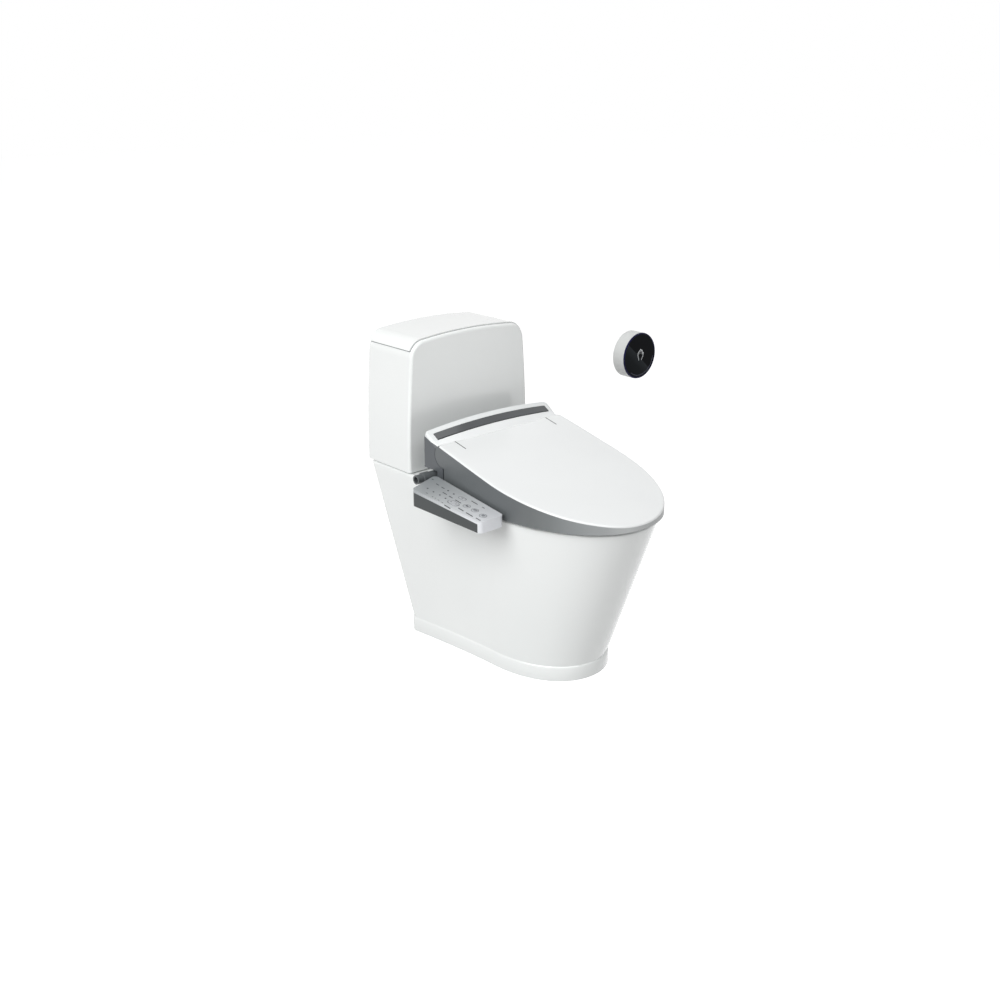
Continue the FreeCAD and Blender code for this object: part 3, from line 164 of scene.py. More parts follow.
def grainNode(tree, scale, detail, stretch=(1, 1, 1)):
    # even noise on the piece's own coordinates
    coords = tree.nodes.new("ShaderNodeTexCoord")
    mapping = tree.nodes.new("ShaderNodeMapping")
    mapping.inputs["Scale"].default_value = stretch
    noise = tree.nodes.new("ShaderNodeTexNoise")
    noise.inputs["Scale"].default_value = scale
    noise.inputs["Detail"].default_value = detail
    tree.links.new(coords.outputs["Object"], mapping.inputs["Vector"])
    tree.links.new(mapping.outputs["Vector"], noise.inputs["Vector"])
    return noise.outputs["Fac"]


fadeLooseness = 0.03


def fadeNode(tree, fade, blend):
    # the share of the way along one direction in metres, loosened a little by the mottle
    direction, start, end = fade
    coords = tree.nodes.new("ShaderNodeTexCoord")
    along = tree.nodes.new("ShaderNodeVectorMath")
    along.operation = "DOT_PRODUCT"
    along.inputs[1].default_value = direction
    tree.links.new(coords.outputs["Object"], along.inputs[0])
    share = tree.nodes.new("ShaderNodeMapRange")
    share.inputs["From Min"].default_value = start
    share.inputs["From Max"].default_value = end
    tree.links.new(along.outputs["Value"], share.inputs["Value"])
    loose = tree.nodes.new("ShaderNodeMath")
    loose.operation = "MULTIPLY_ADD"
    loose.inputs[1].default_value = fadeLooseness
    tree.links.new(blend, loose.inputs[0])
    tree.links.new(share.outputs["Result"], loose.inputs[2])
    return loose.outputs[0]


def finish(name, tones, mottle, grain, bump, roughness, metallic=0.0, coat=0.0, coatRoughness=0.05,
           stretch=(1, 1, 1), ior=1.5, fade=None):
    # two close tones are mottled over the surface, or several follow one another along a fade, and a
    # finer grain lifts and dulls it a little
    material = bpy.data.materials.new(name)
    material.use_nodes = True
    tree = material.node_tree
    shader = tree.nodes["Principled BSDF"]
    shader.inputs["Metallic"].default_value = metallic
    shader.inputs["IOR"].default_value = ior
    shader.inputs["Coat Weight"].default_value = coat
    shader.inputs["Coat Roughness"].default_value = coatRoughness
    blend = grainNode(tree, mottle, 2.0)
    if fade:
        colour = paletteNode(tree, tones, fadeNode(tree, fade, blend))
    else:
        colour = paletteNode(tree, [(0.3, tones[0]), (0.7, tones[1])], blend)
    tree.links.new(colour, shader.inputs["Base Color"])
    fine = grainNode(tree, grain, 4.0, stretch)
    spread = tree.nodes.new("ShaderNodeMapRange")
    spread.inputs["To Min"].default_value = roughness[0]
    spread.inputs["To Max"].default_value = roughness[1]
    tree.links.new(fine, spread.inputs["Value"])
    tree.links.new(spread.outputs["Result"], shader.inputs["Roughness"])
    lift = tree.nodes.new("ShaderNodeBump")
    lift.inputs["Strength"].default_value = bump[0]
    lift.inputs["Distance"].default_value = bump[1]
    tree.links.new(fine, lift.inputs["Height"])
    tree.links.new(lift.outputs["Normal"], shader.inputs["Normal"])
    return material


def srgb(red, green, blue):
    # screen values from 0 to 255 as scene-linear colour
    values = np.array([red, green, blue]) / 255
    low = values / 12.92
    high = ((values + 0.055) / 1.055) ** 2.4
    return tuple(float(value) for value in np.where(values > 0.04045, high, low))


# surface values of each finish: two tones, mottle scale, grain scale, bump (strength, metres),
# roughness range and extras
finishLook = {
    "whiteGlaze": dict(tones=(srgb(244, 246, 245), srgb(239, 242, 241)), mottle=2.2, grain=9.0,
                       bump=(0.05, 0.0012), roughness=(0.10, 0.16), coat=0.5, coatRoughness=0.04),
    "glossWhite": dict(tones=(srgb(243, 245, 245), srgb(240, 242, 243)), mottle=4.0, grain=60.0,
                       bump=(0.03, 0.0003), roughness=(0.18, 0.25), coat=0.3, coatRoughness=0.08),
    "paleShell": dict(tones=(srgb(232, 235, 235), srgb(228, 231, 231)), mottle=5.0, grain=420.0,
                      bump=(0.06, 0.0001), roughness=(0.30, 0.38)),
    "frontTrim": dict(tones=(srgb(240, 242, 242), srgb(236, 238, 239)), mottle=5.0, grain=80.0,
                      bump=(0.03, 0.0003), roughness=(0.18, 0.25), coat=0.3, coatRoughness=0.08),
    "smokedWindow": dict(tones=(srgb(62, 66, 69), srgb(55, 59, 62)), mottle=9.0, grain=90.0,
                         bump=(0.02, 0.0002), roughness=(0.08, 0.14), coat=0.4),
    "graphiteShell": dict(tones=(srgb(86, 90, 94), srgb(81, 85, 89)), mottle=6.0, grain=520.0,
                          bump=(0.10, 0.00012), roughness=(0.32, 0.42)),
    # the lid's side band: graphite at the rear, growing paler toward the front tip; the fade is painted
    # shading
    "bandPaintedShading": dict(tones=[(0.0, srgb(99, 103, 105)), (0.50, srgb(98, 102, 104)),
                            (0.66, srgb(100, 104, 105)), (0.76, srgb(113, 117, 118)),
                            (0.87, srgb(138, 142, 143)), (0.95, srgb(158, 161, 162)),
                            (1.0, srgb(188, 191, 191))],
                     fade=((0, -1, 0), -0.03, 0.427), mottle=6.0, grain=520.0,
                     bump=(0.10, 0.00012), roughness=(0.32, 0.42)),
    "connectorGrey": dict(tones=(srgb(86, 90, 92), srgb(76, 80, 82)), mottle=14.0, grain=300.0,
                          bump=(0.06, 0.0001), roughness=(0.28, 0.38)),
    "seamShade": dict(tones=(srgb(138, 142, 143), srgb(128, 132, 133)), mottle=14.0, grain=300.0,
                      bump=(0.05, 0.0001), roughness=(0.5, 0.6)),
    "armGraphite": dict(tones=(srgb(57, 61, 62), srgb(54, 58, 59)), mottle=6.0, grain=520.0,
                        bump=(0.10, 0.00012), roughness=(0.32, 0.42)),
    "mattBlack": dict(tones=(srgb(52, 53, 55), srgb(44, 45, 47)), mottle=12.0, grain=600.0,
                      bump=(0.15, 0.00015), roughness=(0.45, 0.6)),
    "mattGrey": dict(tones=(srgb(160, 162, 164), srgb(150, 152, 155)), mottle=9.0, grain=500.0,
                     bump=(0.12, 0.00015), roughness=(0.4, 0.55)),
    "mattWhite": dict(tones=(srgb(226, 226, 224), srgb(216, 217, 215)), mottle=9.0, grain=420.0,
                      bump=(0.12, 0.00015), roughness=(0.38, 0.5)),
    "mattBlue": dict(tones=(srgb(58, 96, 160), srgb(48, 84, 146)), mottle=9.0, grain=420.0,
                     bump=(0.12, 0.00015), roughness=(0.38, 0.5)),
    "blackRubber": dict(tones=(srgb(44, 44, 45), srgb(34, 34, 35)), mottle=20.0, grain=700.0,
                        bump=(0.25, 0.0002), roughness=(0.65, 0.8)),
    "paleRubber": dict(tones=(srgb(205, 205, 203), srgb(194, 194, 192)), mottle=20.0, grain=700.0,
                       bump=(0.22, 0.0002), roughness=(0.6, 0.75)),
    "stainless": dict(tones=(srgb(204, 205, 207), srgb(186, 188, 191)), mottle=16.0, grain=140.0,
                      bump=(0.10, 0.0001), roughness=(0.22, 0.36), metallic=1.0, stretch=(1, 1, 14)),
    "circuitBoard": dict(tones=(srgb(34, 92, 58), srgb(24, 72, 46)), mottle=130.0, grain=260.0,
                         bump=(0.25, 0.0003), roughness=(0.3, 0.5)),
    "heatingFoil": dict(tones=(srgb(212, 212, 210), srgb(190, 190, 188)), mottle=60.0, grain=240.0,
                        bump=(0.3, 0.0003), roughness=(0.25, 0.4), metallic=1.0),
    "batteryWrap": dict(tones=(srgb(150, 152, 156), srgb(138, 140, 146)), mottle=30.0, grain=160.0,
                        bump=(0.08, 0.0002), roughness=(0.3, 0.4)),
    # black glass with a painted reflection: a lighter field of painted sheen lies below a slanting line
    # through the middle
    "blackFacePaintedReflection": dict(tones=[(0.0, srgb(12, 15, 18)), (0.30, srgb(22, 26, 29)), (0.485, srgb(44, 48, 52)),
                             (0.50, srgb(7, 10, 14)), (1.0, srgb(8, 12, 18))],
                      fade=((0.663, 0, 0.749), 0.815, 0.945), mottle=10.0, grain=60.0,
                      bump=(0.01, 0.0002), roughness=(0.05, 0.09), ior=1.12),
    "navyRing": dict(tones=(srgb(16, 14, 74), srgb(10, 9, 52)), mottle=18.0, grain=90.0,
                     bump=(0.02, 0.0002), roughness=(0.1, 0.16), ior=1.2),
    "keySilver": dict(tones=(srgb(206, 208, 211), srgb(196, 199, 203)), mottle=30.0, grain=500.0,
                      bump=(0.05, 0.0001), roughness=(0.24, 0.32), metallic=0.25, coat=0.4),
    "lampAmber": dict(tones=(srgb(74, 76, 78), srgb(60, 62, 64)), mottle=90.0, grain=400.0,
                      bump=(0.05, 0.0001), roughness=(0.15, 0.25), coat=0.5),
    "lidWhite": dict(tones=(srgb(241, 243, 243), srgb(238, 240, 240)), mottle=4.0, grain=60.0,
                     bump=(0.03, 0.0003), roughness=(0.20, 0.27), coat=0.25, coatRoughness=0.08),
    "printGrey": dict(tones=(srgb(112, 116, 120), srgb(102, 106, 110)), mottle=60.0, grain=500.0,
                      bump=(0.03, 0.0001), roughness=(0.4, 0.5)),
    "printDark": dict(tones=(srgb(52, 55, 60), srgb(42, 45, 50)), mottle=60.0, grain=500.0,
                      bump=(0.03, 0.0001), roughness=(0.4, 0.5)),
    "sensorShell": dict(tones=(srgb(224, 226, 225), srgb(218, 220, 219)), mottle=9.0, grain=300.0,
                        bump=(0.04, 0.0001), roughness=(0.3, 0.4)),
    "symbolSilver": dict(tones=(srgb(236, 239, 241), srgb(226, 230, 233)), mottle=50.0, grain=300.0,
                         bump=(0.03, 0.0001), roughness=(0.3, 0.4)),
    "arcGlow": dict(tones=(srgb(84, 88, 112), srgb(66, 70, 96)), mottle=40.0, grain=200.0,
                    bump=(0.02, 0.0001), roughness=(0.2, 0.3)),
    # the arm's cover: silver satin whose fade from darker at the rear to paler at the front end is painted
    # shading
    "silverSatinPaintedShading": dict(tones=[(0.0, srgb(146, 151, 154)), (0.30, srgb(170, 174, 176)),
                               (0.65, srgb(204, 207, 209)), (1.0, srgb(219, 221, 225))],
                        fade=((0, -1, 0), -0.02, 0.207), mottle=8.0, grain=700.0,
                        bump=(0.06, 0.0001), roughness=(0.26, 0.34), metallic=0.2, coat=0.3),
}
finishes = {name: finish(name, **look) for name, look in finishLook.items()}

# which finish each visible or hidden sub-part of the frame wears
nodeFinish = {
    "whiteGlaze": ["pedestal_skirt", "rim_deck", "bowl_basin", "water_ways", "tank_body", "tank_lid"],
    "glossWhite": ["lid_panel", "seat_top", "seat_bridge", "seat_base"],
    "sensorShell": ["sensor_housing"],
    "graphiteShell": ["housing_chassis"],
    "bandPaintedShading": ["lid_side_band"],
    "connectorGrey": ["inlet_connector"],
    "paleShell": ["housing_top_cover"],
    "frontTrim": ["housing_front_trim"],
    "smokedWindow": ["indicator_window"],
    "armGraphite": ["arm_body"],
    "silverSatinPaintedShading": ["arm_cover"],
    "keySilver": ["key_rear_wash", "key_front_wash", "key_dryer", "key_stop", "rocker_key"],
    "lampAmber": ["status_lights"],
    "blackFacePaintedReflection": ["sensor_glass"],
    "navyRing": ["sensor_light_ring"],
    "mattBlack": ["fill_float", "flush_lever", "inlet_valve", "dryer_fan",
                  "soft_close_dampers", "sensor_wall_plate"],
    "mattGrey": ["fill_valve", "flush_actuator", "dryer_blower", "dryer_flap", "nozzle_cradle"],
    "mattWhite": ["flush_tower", "tank_locknuts", "receiver_box", "water_heater", "rear_nozzle",
                  "front_nozzle"],
    "mattBlue": ["flush_canister"],
    "blackRubber": ["tank_gasket", "outlet_seal"],
    "paleRubber": ["lid_bumpers", "seat_bumpers"],
    "stainless": ["tank_bolts", "floor_brackets", "floor_screws", "seat_mounting_plate",
                  "seat_mounting_bolts", "hinge_pins"],
    "circuitBoard": ["control_board", "arm_board", "sensor_board"],
    "heatingFoil": ["seat_heater"],
    "batteryWrap": ["sensor_batteries"],
}
for name, worn in nodeFinish.items():
    for part in worn:
        for slot in nodes[part].material_slots:
            slot.material = finishes[name]
print("finishes ready")


def gridFaces(rows, columns, ringRows=False, ringColumns=True):
    # quads between neighbouring rows and columns of points that are listed row by row
    row = np.arange(rows if ringRows else rows - 1)[:, None]
    column = np.arange(columns if ringColumns else columns - 1)[None, :]
    nextRow, nextColumn = (row + 1) % rows, (column + 1) % columns
    corners = (row * columns + column, row * columns + nextColumn,
               nextRow * columns + nextColumn, nextRow * columns + column)
    return np.stack(corners, axis=-1).reshape(-1, 4).tolist()


def addPiece(name, points, faces, worn, body, sharpAngle=40):
    # points in millimetres, and faces turned outwards if the enclosed volume comes out negative
    mesh = bpy.data.meshes.new(name)
    mesh.from_pydata((np.asarray(points) * millimetre).tolist(), [], faces)
    mesh.update()
    mesh.calc_loop_triangles()
    corners = np.empty(len(mesh.loop_triangles) * 3, dtype=np.int32)
    mesh.loop_triangles.foreach_get("vertices", corners)
    triangles = np.asarray(points)[corners.reshape(-1, 3)]
    volume = np.einsum("ij,ij->", triangles[:, 0], np.cross(triangles[:, 1], triangles[:, 2]))
    if volume < 0:
        mesh.flip_normals()
    mesh.shade_smooth()
    mesh.set_sharp_from_angle(angle=math.radians(sharpAngle))
    mesh.materials.append(finishes[worn])
    piece = bpy.data.objects.new(name, mesh)
    bpy.context.scene.collection.objects.link(piece)
    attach(piece, body)
    return piece


def smoothStep(share):
    # three times the square less twice the cube of the share, which is held between 0 and 1
    share = np.clip(share, 0, 1)
    return share * share * (3 - 2 * share)


def crowdedShares(weights, count):
    # places from 0 to 1 that lie closer together where the weight is high
    total = np.concatenate([[0], np.cumsum((weights[1:] + weights[:-1]) / 2)])
    return np.interp(np.linspace(0, 1, count), total / total[-1], np.linspace(0, 1, len(weights)))


def halfStations(front, side, corner, back):
    # stretch number and place along it, from the front tip round the right side to the back's middle
    stretches = [
        np.linspace(math.pi / 2, 0, front, endpoint=False),
        side,
        np.linspace(0, math.pi / 2, corner, endpoint=False),
        np.linspace(0, 1, back),
    ]
    kind = np.concatenate([np.full(len(part), number) for number, part in enumerate(stretches)])
    return kind, np.concatenate(stretches)


def planOutline(stations, rear, halfRear, middle, halfMiddle, tip, corner, roundness=2.12):
    # D-shaped plan: superellipse round the front, side width growing with the power 1.5 of the way
    # back, a quarter circle at each rear corner and a straight back; the left half is the mirror
    kind, place = stations
    swing = np.clip(place, 0, math.pi / 2)
    share = np.clip(place, 0, 1)
    across = [
        halfMiddle * np.cos(swing) ** (2 / roundness),
        halfMiddle + (halfRear - halfMiddle) * share ** 1.5,
        halfRear - corner + corner * np.cos(swing),
        (halfRear - corner) * (1 - share),
    ]
    along = [
        middle - (middle - tip) * np.sin(swing) ** (2 / roundness),
        middle + (rear - corner - middle) * share,
        rear - corner + corner * np.sin(swing),
        rear + 0 * share,
    ]
    across = np.select([kind == number for number in range(4)], across)
    along = np.select([kind == number for number in range(4)], along)
    across = np.concatenate([across, -across[..., -2:0:-1]], axis=-1)
    along = np.concatenate([along, along[..., -2:0:-1]], axis=-1)
    return across, along


# the china base is one shell: skirt, foot band, rim, raised rear deck and rolled mouth
chinaShape = {
    "footRear": 179, "footHalfRear": 159, "footMiddle": -100, "footHalfMiddle": 137, "footTip": -293,
    "topRear": 290, "topHalfRear": 184, "topMiddle": -150, "topHalfMiddle": 183, "topTip": -426,
    "corner": 24, "bandTall": 36, "bandStep": 2, "deckTop": 415, "rimTop": 392.4,
    "platformFront": 112, "stepHalf": 5, "rimRound": 7,
    "mouthCentre": -228, "mouthLong": 157, "mouthWide": 124, "mouthPower": 2.1, "mouthRoll": 5,
    "mouthLap": 6,  # how far the wall under the rolled mouth stands back from it
    "wall": 13, "deckThick": 26,
}


def skirtPlan(level, inset, stations):
    # every plan size runs linearly from the foot to the deck, and the inset draws it in
    look = chinaShape
    share = np.clip((level - look["bandTall"]) / (look["deckTop"] - look["bandTall"]), 0, None)

    def between(name):
        return look["foot" + name] + (look["top" + name] - look["foot" + name]) * share

    return planOutline(stations, between("Rear") - inset, between("HalfRear") - inset, between("Middle"),
                       between("HalfMiddle") - inset, between("Tip") + inset, look["corner"])


def chinaDeck(along):
    # rim height in front, and a soft S-step up to the platform under the tank
    look = chinaShape
    share = (along - look["platformFront"] + look["stepHalf"]) / (2 * look["stepHalf"])
    return look["rimTop"] + (look["deckTop"] - look["rimTop"]) * smoothStep(share)


def chinaBase():
    # rows of points run up the outside, over the rolled rim, across the deck to the mouth, round its
    # roll, back under the deck and down the inner wall, so the rows close into a ring
    look = chinaShape
    reach = np.linspace(0, 1, 500)
    sideReach = look["topRear"] - look["corner"] - look["topMiddle"]
    stepShare = (look["platformFront"] - look["topMiddle"]) / sideReach
    side = crowdedShares(1 + 10 * np.exp(-((reach - stepShare) / 0.03) ** 2), 47)[:-1]
    stations = halfStations(44, side, 9, 14)
    full = len(stations[0]) * 2 - 2

    def row(level, inset):
        level = np.broadcast_to(level, (full,)).astype(float)
        halfLevel = level[:len(stations[0])]
        across, along = skirtPlan(halfLevel, inset, stations)
        return np.stack([across, along, level], axis=-1)

    topAlong = row(look["deckTop"], 0)[:, 1]
    top = chinaDeck(topAlong)
    band = look["bandTall"]
    # height and inset of the foot's rounded sole and of the groove over the foot band
    rows = [row(0, 3), row(0.9, 0.9), row(3, 0),
            row(band - 5, 0), row(band - 2, 0.3), row(band - 0.7, 0.9),
            row(band + 0.3, 1.9), row(band + 1.5, 2.3), row(band + 4, 2)]
    rimRound = look["rimRound"]
    for share in np.linspace(0, 1, 24)[1:]:
        level = band + 4 + (top - rimRound - band - 4) * share
        rows.append(row(level, look["bandStep"] * (1 - share)))
    for turn in np.linspace(0, math.pi / 2, 8)[1:]:
        rows.append(row(top - rimRound + rimRound * math.sin(turn), rimRound * (1 - math.cos(turn))))

    # each deck line runs straight from the rim towards the middle of the mouth
    rim = rows[-1]
    toward = rim[:, :2] - np.array([0, look["mouthCentre"]])
    toward /= np.linalg.norm(toward, axis=1)[:, None]
    power = look["mouthPower"]
    radius = ((np.abs(toward[:, 0]) / look["mouthWide"]) ** power
              + (np.abs(toward[:, 1]) / look["mouthLong"]) ** power) ** (-1 / power)
    mouth = toward * radius[:, None] + np.array([0, look["mouthCentre"]])
    lines = rim[None, :, 1] + (mouth[:, 1] - rim[:, 1])[None, :] * reach[:, None]
    weights = 1 + 12 * np.exp(-((lines - look["platformFront"]) / 7) ** 2)
    shares = np.stack([crowdedShares(weights[:, column], 58) for column in range(full)], axis=1)[1:]
    flat = rim[None, :, :2] + (mouth - rim[:, :2])[None] * shares[..., None]
    rows.extend(np.concatenate([flat, chinaDeck(flat[..., 1])[..., None]], axis=-1))

    def mouthRow(inward, level):
        spot = mouth - toward * inward
        return np.column_stack([spot, np.full(full, float(level))])

    roll, lap = look["mouthRoll"], look["mouthLap"]
    for turn in np.linspace(0, math.pi, 11)[1:]:
        rows.append(mouthRow(roll * math.sin(turn), look["rimTop"] - roll * (1 - math.cos(turn))))
    underRim = look["rimTop"] - look["deckThick"]
    rows.extend([mouthRow(-lap, look["rimTop"] - 2 * roll), mouthRow(-lap, underRim)])

    inner = row(top - look["deckThick"], look["wall"])
    start = mouthRow(-lap, underRim)
    for share in np.linspace(0, 1, 34)[1:]:
        spot = start[:, :2] + (inner - start)[:, :2] * share
        rows.append(np.column_stack([spot, chinaDeck(spot[:, 1] - look["wall"]) - look["deckThick"]]))
    for share in np.linspace(0, 1, 10)[1:]:
        level = band + (top - look["deckThick"] - band) * (1 - share)
        rows.append(row(level, look["wall"] + look["bandStep"] * share))
    rows.append(row(0, 2 * look["wall"]))
    points = np.concatenate(rows)
    faces = gridFaces(len(rows), full, ringRows=True)
    piece = addPiece("chinaBase", points, faces, "whiteGlaze", "base", 35)
    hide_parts("pedestal_skirt", "rim_deck")


chinaBase()
print("china base ready")

# the lid is a domed panel with a rolled edge, hinge ears, slits and knuckles at the back
lidShape = {
    "rear": 20, "halfRear": 187, "middle": -150, "halfMiddle": 190, "tip": -427, "corner": 3.5,
    "centre": (0, -190),
    "crest": [(-445, 405), (-400, 418.5), (-330, 433.5), (-173, 466), (20, 512), (40, 516.5)],
    "thick": 4, "edgeRound": 3.4, "edgeLap": 0.2,
    "crown": 2.2, "crownHalf": 182, "crownReach": 270, "crownFade": 130,
    "slitAcross": 140, "slitWide": 2.4, "slitFrom": -18, "slitShort": 1.2, "slitProud": 0.12, "slitSink": 3,
    "axis": (5, 490), "knuckle": 27.7, "knuckleNear": 178.6, "knuckleFar": 187.4, "knuckleEdge": 0.3,
    "lipNear": 24.8, "lipHalf": 178, "lipTurn": (26, 55), "lipEdge": 0.4,
    "earNear": 129.5, "earWide": 9, "eyeRadius": 10, "eyeTurn": (200, 385),
    "earWeb": [(16, 508), (-24, 499)],
}


def lidCrest(along):
    # a cubic through each pair of crest points, with slopes from their neighbours
    knots = np.array(lidShape["crest"], dtype=float)
    slopes = np.gradient(knots[:, 1], knots[:, 0])
    spot = np.clip(np.searchsorted(knots[:, 0], along) - 1, 0, len(knots) - 2)
    start, end = knots[spot], knots[spot + 1]
    width = end[..., 0] - start[..., 0]
    share = (along - start[..., 0]) / width
    leaving = (1 + 2 * share) * (1 - share) ** 2 * start[..., 1]
    leavingSlope = share * (1 - share) ** 2 * width * slopes[spot]
    coming = share ** 2 * (3 - 2 * share) * end[..., 1]
    comingSlope = share ** 2 * (share - 1) * width * slopes[spot + 1]
    return (leaving + leavingSlope) + (coming + comingSlope)


def lidTop(across, along):
    # the crest curve plus a shallow dome, 1 less the squares of both shares, that fades to the hinge
    look = lidShape
    ahead = np.clip(look["middle"] - along, 0, None)
    dome = np.clip(1 - (across / look["crownHalf"]) ** 2 - (ahead / look["crownReach"]) ** 2, 0, None)
    return lidCrest(along) + look["crown"] * dome * smoothStep((look["rear"] - along) / look["crownFade"])


def lidShell():
    # rows run from the middle of the underside out to the edge, round it and back over the top: the
    # plan outline scaled towards the centre, or drawn in along a quarter circle, at lidTop's height
    look = lidShape
    reach = np.linspace(0, 1, 200)
    stations = halfStations(40, crowdedShares(np.ones(200), 31)[:-1], 5, 16)
    centre = np.array(look["centre"])

    def outline(inset):
        across, along = planOutline(stations, look["rear"] - inset, look["halfRear"] - inset, look["middle"],
                                    look["halfMiddle"] - inset, look["tip"] + inset, look["corner"])
        return np.column_stack([across, along])

    edge = outline(look["edgeRound"])
    rows = []
    for share in np.linspace(0, 1, 20)[1:]:
        spot = centre + (edge - centre) * share
        rows.append(np.column_stack([spot, lidTop(spot[:, 0], spot[:, 1]) - look["thick"]]))
    low = outline(look["edgeLap"])
    rows.append(np.column_stack([low, lidTop(low[:, 0], low[:, 1]) - look["thick"]]))
    for turn in np.linspace(0, math.pi / 2, 7):
        spot = outline(look["edgeRound"] * (1 - math.cos(turn)))
        lift = look["edgeRound"] * (math.sin(turn) - 1)
        rows.append(np.column_stack([spot, lidTop(spot[:, 0], spot[:, 1]) + lift]))
    for share in np.linspace(1, 0, 40)[1:-1]:
        spot = centre + (edge - centre) * share
        rows.append(np.column_stack([spot, lidTop(spot[:, 0], spot[:, 1])]))
    columns = len(rows[0])
    points = np.concatenate(rows)
    faces = gridFaces(len(rows), columns)
    poles = [[*centre, float(lidTop(*centre)) - look["thick"]], [*centre, float(lidTop(*centre))]]
    last = (len(rows) - 1) * columns
    for column in range(columns):
        following = (column + 1) % columns
        faces.append([following, column, len(points)])
        faces.append([last + column, last + following, len(points) + 1])
    panel = addPiece("lidShell", np.concatenate([points, poles]), faces, "lidWhite", "lid", 50)
    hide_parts("lid_panel")


def sideProfile(name, outline, spans, worn, body, edge=0.8):
    # a side-view outline (depth, height) carried across each span, with a small chamfer at both ends
    outline = np.asarray(outline, dtype=float)
    ahead = np.roll(outline, -1, axis=0) - np.roll(outline, 1, axis=0)
    inward = np.column_stack([-ahead[:, 1], ahead[:, 0]]) / np.linalg.norm(ahead, axis=1)[:, None]
    following = np.roll(outline, -1, axis=0)
    if np.sum(outline[:, 0] * following[:, 1] - outline[:, 1] * following[:, 0]) < 0:
        inward = -inward  # the outline runs clockwise
    points, faces = [], []
    count = len(outline)
    for low, high in spans:
        base = len(points)
        for across, drawn in ((low, edge), (low + edge, 0), (high - edge, 0), (high, edge)):
            shape = outline + inward * drawn
            points.extend(np.column_stack([np.full(count, across), shape]).tolist())
        faces.extend([[base + corner for corner in face] for face in gridFaces(4, count)])
        faces.append([base + corner for corner in reversed(range(count))])
        faces.append([base + 3 * count + corner for corner in range(count)])
    return addPiece(name, points, faces, worn, body)


def circleOutline(centre, radius, count, start=0.0, end=2 * math.pi, closed=True):
    # centre plus radius times cosine and sine, over turns spaced evenly from start to end
    turns = np.linspace(start, end, count, endpoint=not closed)
    return np.column_stack([centre[0] + radius * np.cos(turns), centre[1] + radius * np.sin(turns)])


def lidHinge():
    look = lidShape
    knuckle = circleOutline(look["axis"], look["knuckle"], 120)
    underPanel = lidCrest(knuckle[:, 0]) - look["thick"] - look["edgeLap"]
    knuckle[:, 1] = np.minimum(knuckle[:, 1], underPanel)
    spans = [(look["knuckleNear"], look["knuckleFar"]), (-look["knuckleFar"], -look["knuckleNear"])]
    # the knuckles wear the side band's finish with its painted shading
    piece = sideProfile("lidKnuckles", knuckle, spans, "bandPaintedShading", "lid", look["knuckleEdge"])
    # behind the panel a curved lip turns in the recess and closes the view into it
    low, high = (math.radians(turn) for turn in look["lipTurn"])
    outer = circleOutline(look["axis"], look["knuckle"], 17, low, high, closed=False)
    inner = circleOutline(look["axis"], look["lipNear"], 17, high, low, closed=False)
    section, half = np.concatenate([outer, inner]), look["lipHalf"]
    piece = sideProfile("lidRearLip", section, [(-half, half)], "lidWhite", "lid", look["lipEdge"])
    # each ear is an eye round the pin with a web up into the panel
    low, high = (math.radians(turn) for turn in look["eyeTurn"])
    eye = circleOutline(look["axis"], look["eyeRadius"], 40, low, high, closed=False)
    section = np.concatenate([eye, look["earWeb"]])
    near, far = look["earNear"], look["earNear"] + look["earWide"]
    piece = sideProfile("lidEars", section, [(near, far), (-far, -near)], "glossWhite", "lid")


def lidSlitShadows():
    # painted shadow in the open slots beside the hinge block: each is a thin black strip that follows the
    # crest
    look = lidShape
    along = np.linspace(look["slitFrom"], look["rear"] - look["slitShort"], 12)
    points, faces = [], []
    for side in (-1, 1):
        base = len(points)
        across = side * look["slitAcross"] + np.array([-0.5, 0.5, 0.5, -0.5]) * look["slitWide"]
        top = lidTop(np.full(len(along), side * look["slitAcross"]), along)
        lift = np.array([look["slitProud"], look["slitProud"], -look["slitSink"], -look["slitSink"]])
        height = top[:, None] + lift[None, :]
        ring = np.stack(np.broadcast_arrays(across[None, :], along[:, None], height), axis=-1)
        points.extend(ring.reshape(-1, 3).tolist())
        faces.extend([[base + corner for corner in face] for face in gridFaces(len(along), 4)])
        faces.append([base, base + 1, base + 2, base + 3])
        end = base + (len(along) - 1) * 4
        faces.append([end + 3, end + 2, end + 1, end])
    piece = addPiece("lidSlitShadows", points, faces, "mattBlack", "lid")


lidShell()
lidHinge()
lidSlitShadows()
print("lid ready")

# the housing window is a dark strip bent over the crowned top
windowShape = {
    "half": 172, "fore": 41.5, "back": 57, "proud": 0.3, "sink": 2.2, "endRound": 0.5,
    "housingHalf": 188, "peak": 543, "crown": 11, "peakDepth": 68, "mouthTop": 512, "mouthDrop": 4,
    "axis": (5, 490), "swing": 28,
}


def housingTop(across, along):
    # straight slope from the hinge mouth up to the peak, both of which drop with the square of the side
    look = windowShape
    share = (across / look["housingHalf"]) ** 2
    peak = look["peak"] - look["crown"] * share
    mouth = look["mouthTop"] - look["mouthDrop"] * share
    start = look["axis"][0] + np.sqrt(look["swing"] ** 2 - (mouth - look["axis"][1]) ** 2)
    return mouth + (peak - mouth) * (along - start) / (look["peakDepth"] - start)


